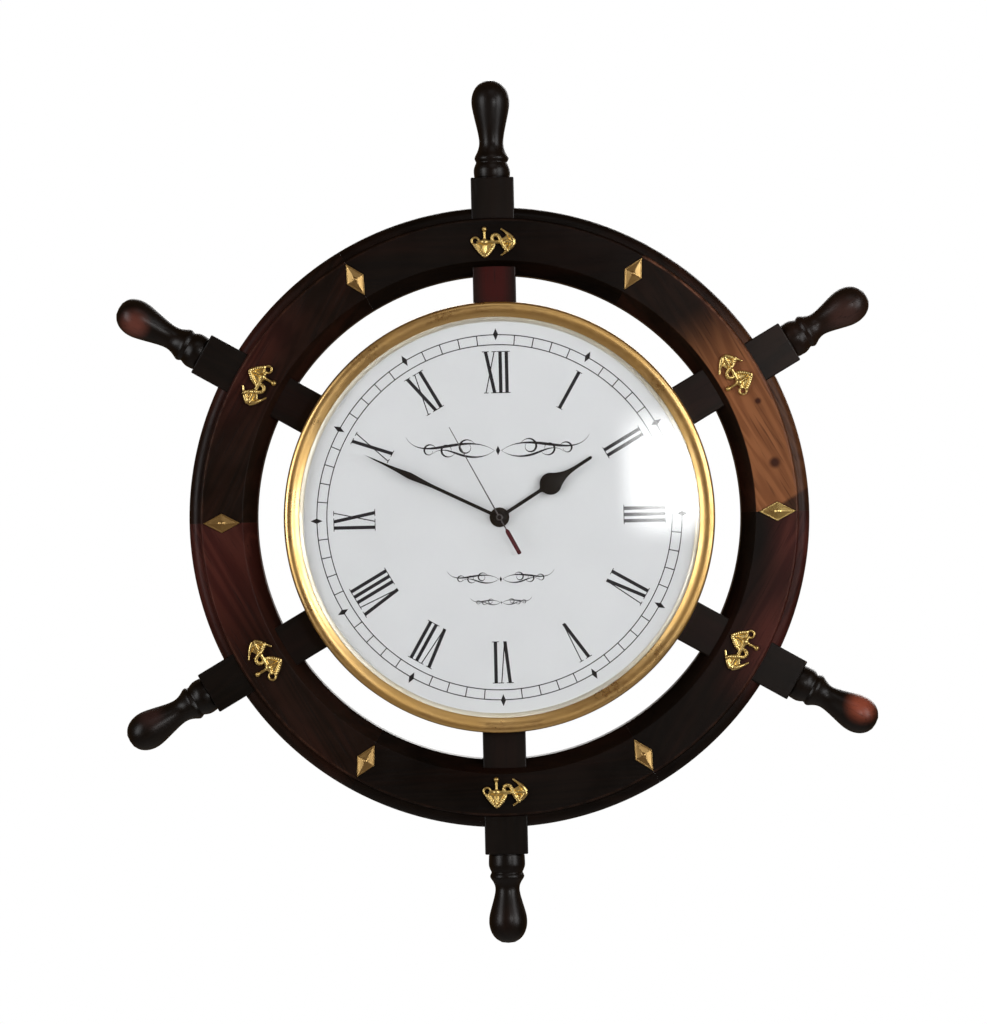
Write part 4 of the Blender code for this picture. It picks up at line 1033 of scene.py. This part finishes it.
# The strokes of a flourish 60 mm to each side: start, heading in degrees, length, bend at the start
# and what it gains along the stroke, further bend past a share, and greatest width.
FLOURISH = (
    ((2.5, 0), 38, 66, (-2.6, 5.0), (10.5, 0.62, 1.2), (1.7, 0.25)),
    ((2.5, 0), -40, 46, (3.2, -3.4), (-16, 0.55, 1.0), (1.3, 0.25)),
    ((16, 4.5), 62, 30, (-7.5, -10), (0, 1.0, 1.0), (1.3, 0.2)),
    ((30, -1.0), -58, 26, (8.0, 12), (0, 1.0, 1.0), (1.2, 0.2)),
    ((43, 1.5), 70, 22, (-9.0, -13), (0, 1.0, 1.0), (1.1, 0.2)),
)


def add_flourish(work, height, size):
    """A symmetrical penman's ornament of S-curves and leaves, size mm to each side."""
    unit = size / 60
    for (x, y), heading, length, (bend, gain), (late, share, power), (wide, extra) in FLOURISH:
        def curvature(t):
            return (bend + gain * t + late * max(0, t - share) ** power) / unit

        width = swelling(wide * unit + extra)
        stroke = scroll((x * unit, y * unit), heading, length * unit, curvature, width)
        for mirror in (-1, 1):
            add_pen_stroke(work, stroke, height, mirror)
    add_patch(work, [(x, y + height) for x, y in diamond_outline(6.8 * unit, 3.0 * unit)])


def build_flourishes():
    """Plain ornaments where such dials carry their maker's lettering."""
    for name, height, size in (("upper", 47.0, 60.0), ("lower", -43.5, 35.0), ("small", -60.0, 20.0)):
        work = bmesh.new()
        add_flourish(work, height, size)
        finished(to_object(f"flourish_{name}", work), INK)


# ---- Hands ----
HOUR_AT, MINUTE_AT, SECONDS_AT = 58.0, 296.0, 332.0


def mirrored(right_side):
    return right_side + [(-x, y) for x, y in reversed(right_side) if x > 1e-6]


def hub_arc(radius, neck):
    """The right half of a hand's round hub, from below up to where a blade neck wide leaves it."""
    return arc((0, 0), radius, -90, math.degrees(math.acos(neck / radius)), 24)


def hand_plate(name, outlines, layer, degrees, edge, material, body, nodes=()):
    made = plate(name, outlines, *layer, turned(degrees), edge)
    finished(soften(made, 0, sharp=30), material, nodes, body)


def build_hour_hand():
    """A spade on a slim stem, with a drawn-out tip."""
    stem = 1.25
    right = hub_arc(5.0, stem) + [(stem, 33.6), (1.6, 34.9)] + arc((0, 43), 7.8, -66, 38, 24)
    tip = [(5.5, 48.6), (3.9, 51.6), (2.6, 55.0), (1.75, 59.0), (1.3, 64.0), (1.2, 70.0), (1.15, 76.5)]
    right += smooth_line(tip, 3) + [(0.7, 77.4), (0, 77.5)]
    hand_plate(
        "hour_hand_spade", [mirrored(right), ring(2.75, 24)], span("hour_hand"), HOUR_AT, 0.12,
        HAND_BLACK, "hour_arbor", ["hour_hand"],
    )


def build_minute_hand():
    """A long leaf."""
    stem = 1.2
    leaf = [
        (stem, 48.0), (1.35, 55.0), (1.85, 62.0), (2.35, 68.5), (2.2, 72.0), (1.45, 79.0), (0.85, 88.0),
        (0.5, 97.5),
    ]
    right = hub_arc(4.2, stem) + [(stem, 46.0)] + smooth_line(leaf, 3) + [(0, 104.3)]
    hand_plate(
        "minute_hand_leaf", [mirrored(right), ring(1.68, 24)], span("minute_hand"), MINUTE_AT, 0.12,
        HAND_BLACK, "minute_arbor", ["minute_hand"],
    )


def build_seconds_hand():
    """A needle with a red counterweight, a boss in front and a collar behind."""
    front = span("seconds_hand")[1]
    back = front - 0.5
    body = "seconds_arbor"
    needle = [(0, -9.5), (0.42, -9.5), (0.5, -2.2), *arc((0, 0), 2.2, -74, 74, 14)]
    needle += [(0.5, 4.0), (0.28, 72.1), (0, 72.5)]
    hand_plate(
        "seconds_needle", [mirrored(needle)], (back, front), SECONDS_AT, 0.06,
        NEEDLE_GREY, body, ["seconds_hand"],
    )
    tail = [(0, -29.6), (1.0, -29.5), (1.45, -28.8), (1.5, -11.5), (0.42, -9.3), (0, -9.3)]
    hand_plate(
        "seconds_counterweight", [mirrored(tail)], (back - 0.05, front + 0.05), SECONDS_AT, 0.1,
        TAIL_RED, body,
    )
    low, high = front - 0.2, front + 0.2
    boss = [(0, low), (1.5, low), (1.5, high), *arc((0, high), (1.5, 0.5), 0, 90, 6)]
    turned_piece("seconds_boss", boss, 32, HAND_BLACK, body)
    collar_back = 47.3
    collar = rectangle(0.7, 1.2, collar_back, back)
    turned_piece("seconds_collar", collar, 24, GEAR_BRASS, body)


def build_minute_nut():
    low, high = span("minute_hand_nut")
    bore = 1.75
    nut = [(bore, low), (2.6, low), *arc((2.2, high - 0.5), 0.4, 0, 90, 5), (bore, high)]
    turned_piece("minute_nut", nut, 48, BLACKENED, "minute_arbor", ["minute_hand_nut"])


# ---- Carried-over frame nodes ----
def paint_nodes():
    """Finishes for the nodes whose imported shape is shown."""
    finishes = {
        ENAMEL: ("dial_plate",),
        BRASS: ("centre_bush",),
        BLACKENED: ("brass_washer", "bush_nut"),
        RUBBER: ("rubber_washer",),
        BLACK_PLASTIC: ("movement_case", "movement_cover", "setting_knob"),
        NYLON: ("train_plate", "intermediate_wheel", "seconds_wheel", "motion_wheel", "hour_wheel"),
        GEAR_BRASS: ("third_wheel", "minute_wheel"),
        GREEN: ("circuit_board",),
        STEEL: (
            "quartz_crystal", "stator", "battery_contact_positive", "battery_contact_negative",
            "hanger_plate", "hanger_screw_1", "hanger_screw_2",
        ),
        COPPER: ("coil",),
        MAGNET: ("rotor",),
        SLEEVE: ("battery",),
    }
    for material, names in finishes.items():
        for name in names:
            paint(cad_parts[name], material)


# ---- Stage, light and camera ----
def softbox(name, place, size, power, colour=(1, 1, 1), spread=70):
    """A rectangular lamp aimed at the wheel, with a grid that keeps its light within spread degrees."""
    light = bpy.data.lights.new(name, "AREA")
    light.shape = "RECTANGLE"
    light.size, light.size_y = size
    light.energy = power
    light.spread = math.radians(spread)
    light.color = colour
    aim = (-Vector(place)).to_track_quat("-Z", "Y").to_matrix().to_4x4()
    return placed(name, light, Matrix.Translation(place) @ aim)


def fade_edges(lamp):
    """Makes a lamp brightest in its middle and fades it out to its edges, like a curtained window."""
    lamp.data.use_nodes = True
    tree = lamp.data.node_tree
    place = node(tree, "NewGeometry").outputs["Parametric"]
    parts = node(tree, "SeparateXYZ", {"Vector": place})
    strength = 1.0
    for part in parts.outputs[:2]:
        away = away_from(tree, part, 0.5)
        strength = times(tree, remap(tree, away, 0.14, 0.5, 1.0, 0.0), strength)
    tree.links.new(strength, tree.nodes["Emission"].inputs["Strength"])


def build_stage():
    """A pale floor below the clock, a white surround, and soft lights from both sides and above."""
    work = bmesh.new()
    bmesh.ops.create_grid(work, x_segments=8, y_segments=8, size=1)
    bmesh.ops.scale(work, vec=(2500, 2000, 1), verts=work.verts)
    drop = 1.1
    floor = to_object("floor", work, Matrix.Translation((0, -0.5, cad_box[0].z - drop)))
    material, tree, principled = shader("floor_paint", Roughness=0.7)
    cloud = noise(tree, shifted(tree), 6.0)
    pale = mix(tree, cloud, (0.82, 0.82, 0.82), (0.86, 0.86, 0.86))
    tree.links.new(pale, principled.inputs["Base Color"])
    tree.links.new(pale, principled.inputs["Emission Color"])
    seen, glow = node(tree, "LightPath").outputs["Is Camera Ray"], 0.62
    tree.links.new(times(tree, seen, glow), principled.inputs["Emission Strength"])
    paint(floor, material)

    world = bpy.data.worlds.new("surround")
    bpy.context.scene.world = world
    world.use_nodes = True
    tree = world.node_tree
    seen = node(tree, "LightPath").outputs["Is Camera Ray"]
    colour = mix(tree, seen, (0.1, 0.06, 0.03), (1.0, 1.0, 1.0))
    tree.links.new(colour, tree.nodes["Background"].inputs["Color"])

    cool = (0.97, 0.98, 1.0)
    softbox("side_light_right", (1.9, -1.5, 0.3), (1.0, 1.8), 4.5, cool)
    softbox("side_light_left", (-1.9, -1.4, 0.3), (1.0, 1.8), 4.1, cool)
    softbox("top_light", (0.3, -1.8, 1.9), (1.6, 0.8), 0.5, cool)
    fade_edges(softbox("window", (1.05, -2.6, 0.23), (0.86, 0.88), 8.4, spread=100))
    softbox("back_light", (0.6, 2.6, 1.2), (2.4, 1.6), 13)


def build_camera():
    """Long lens, square on to the dial, with the wheel a little off plumb as it was hung."""
    picture_height = 0.7263
    distance = 3.4
    tilt = math.radians(-1.25)
    camera = bpy.data.cameras.new("camera")
    camera.sensor_width = 36
    camera.lens = camera.sensor_width * distance / picture_height
    camera.clip_end = 50
    plane = WALL - MM * SPOKE_DEPTH / 2
    turn = Matrix.Rotation(math.pi / 2, 4, "X") @ Matrix.Rotation(tilt, 4, "Z")
    aside, up = -0.0042, 0.0037
    offset = turn.to_3x3() @ Vector((aside, up, distance))
    stand = Matrix.Translation(Vector((0, plane, 0)) + offset) @ turn
    bpy.context.scene.camera = placed("camera", camera, stand)
    bpy.context.scene.view_settings.view_transform = "Standard"


build_camera()
build_stage()
build_felloes()
build_spokes()
build_hub_ring()
build_diamonds()
build_anchors()
build_board()
build_numerals()
build_minute_track()
build_flourishes()
build_dial_ring()
build_glass()
build_bezel()
build_hour_hand()
build_minute_hand()
build_seconds_hand()
build_minute_nut()
paint_nodes()
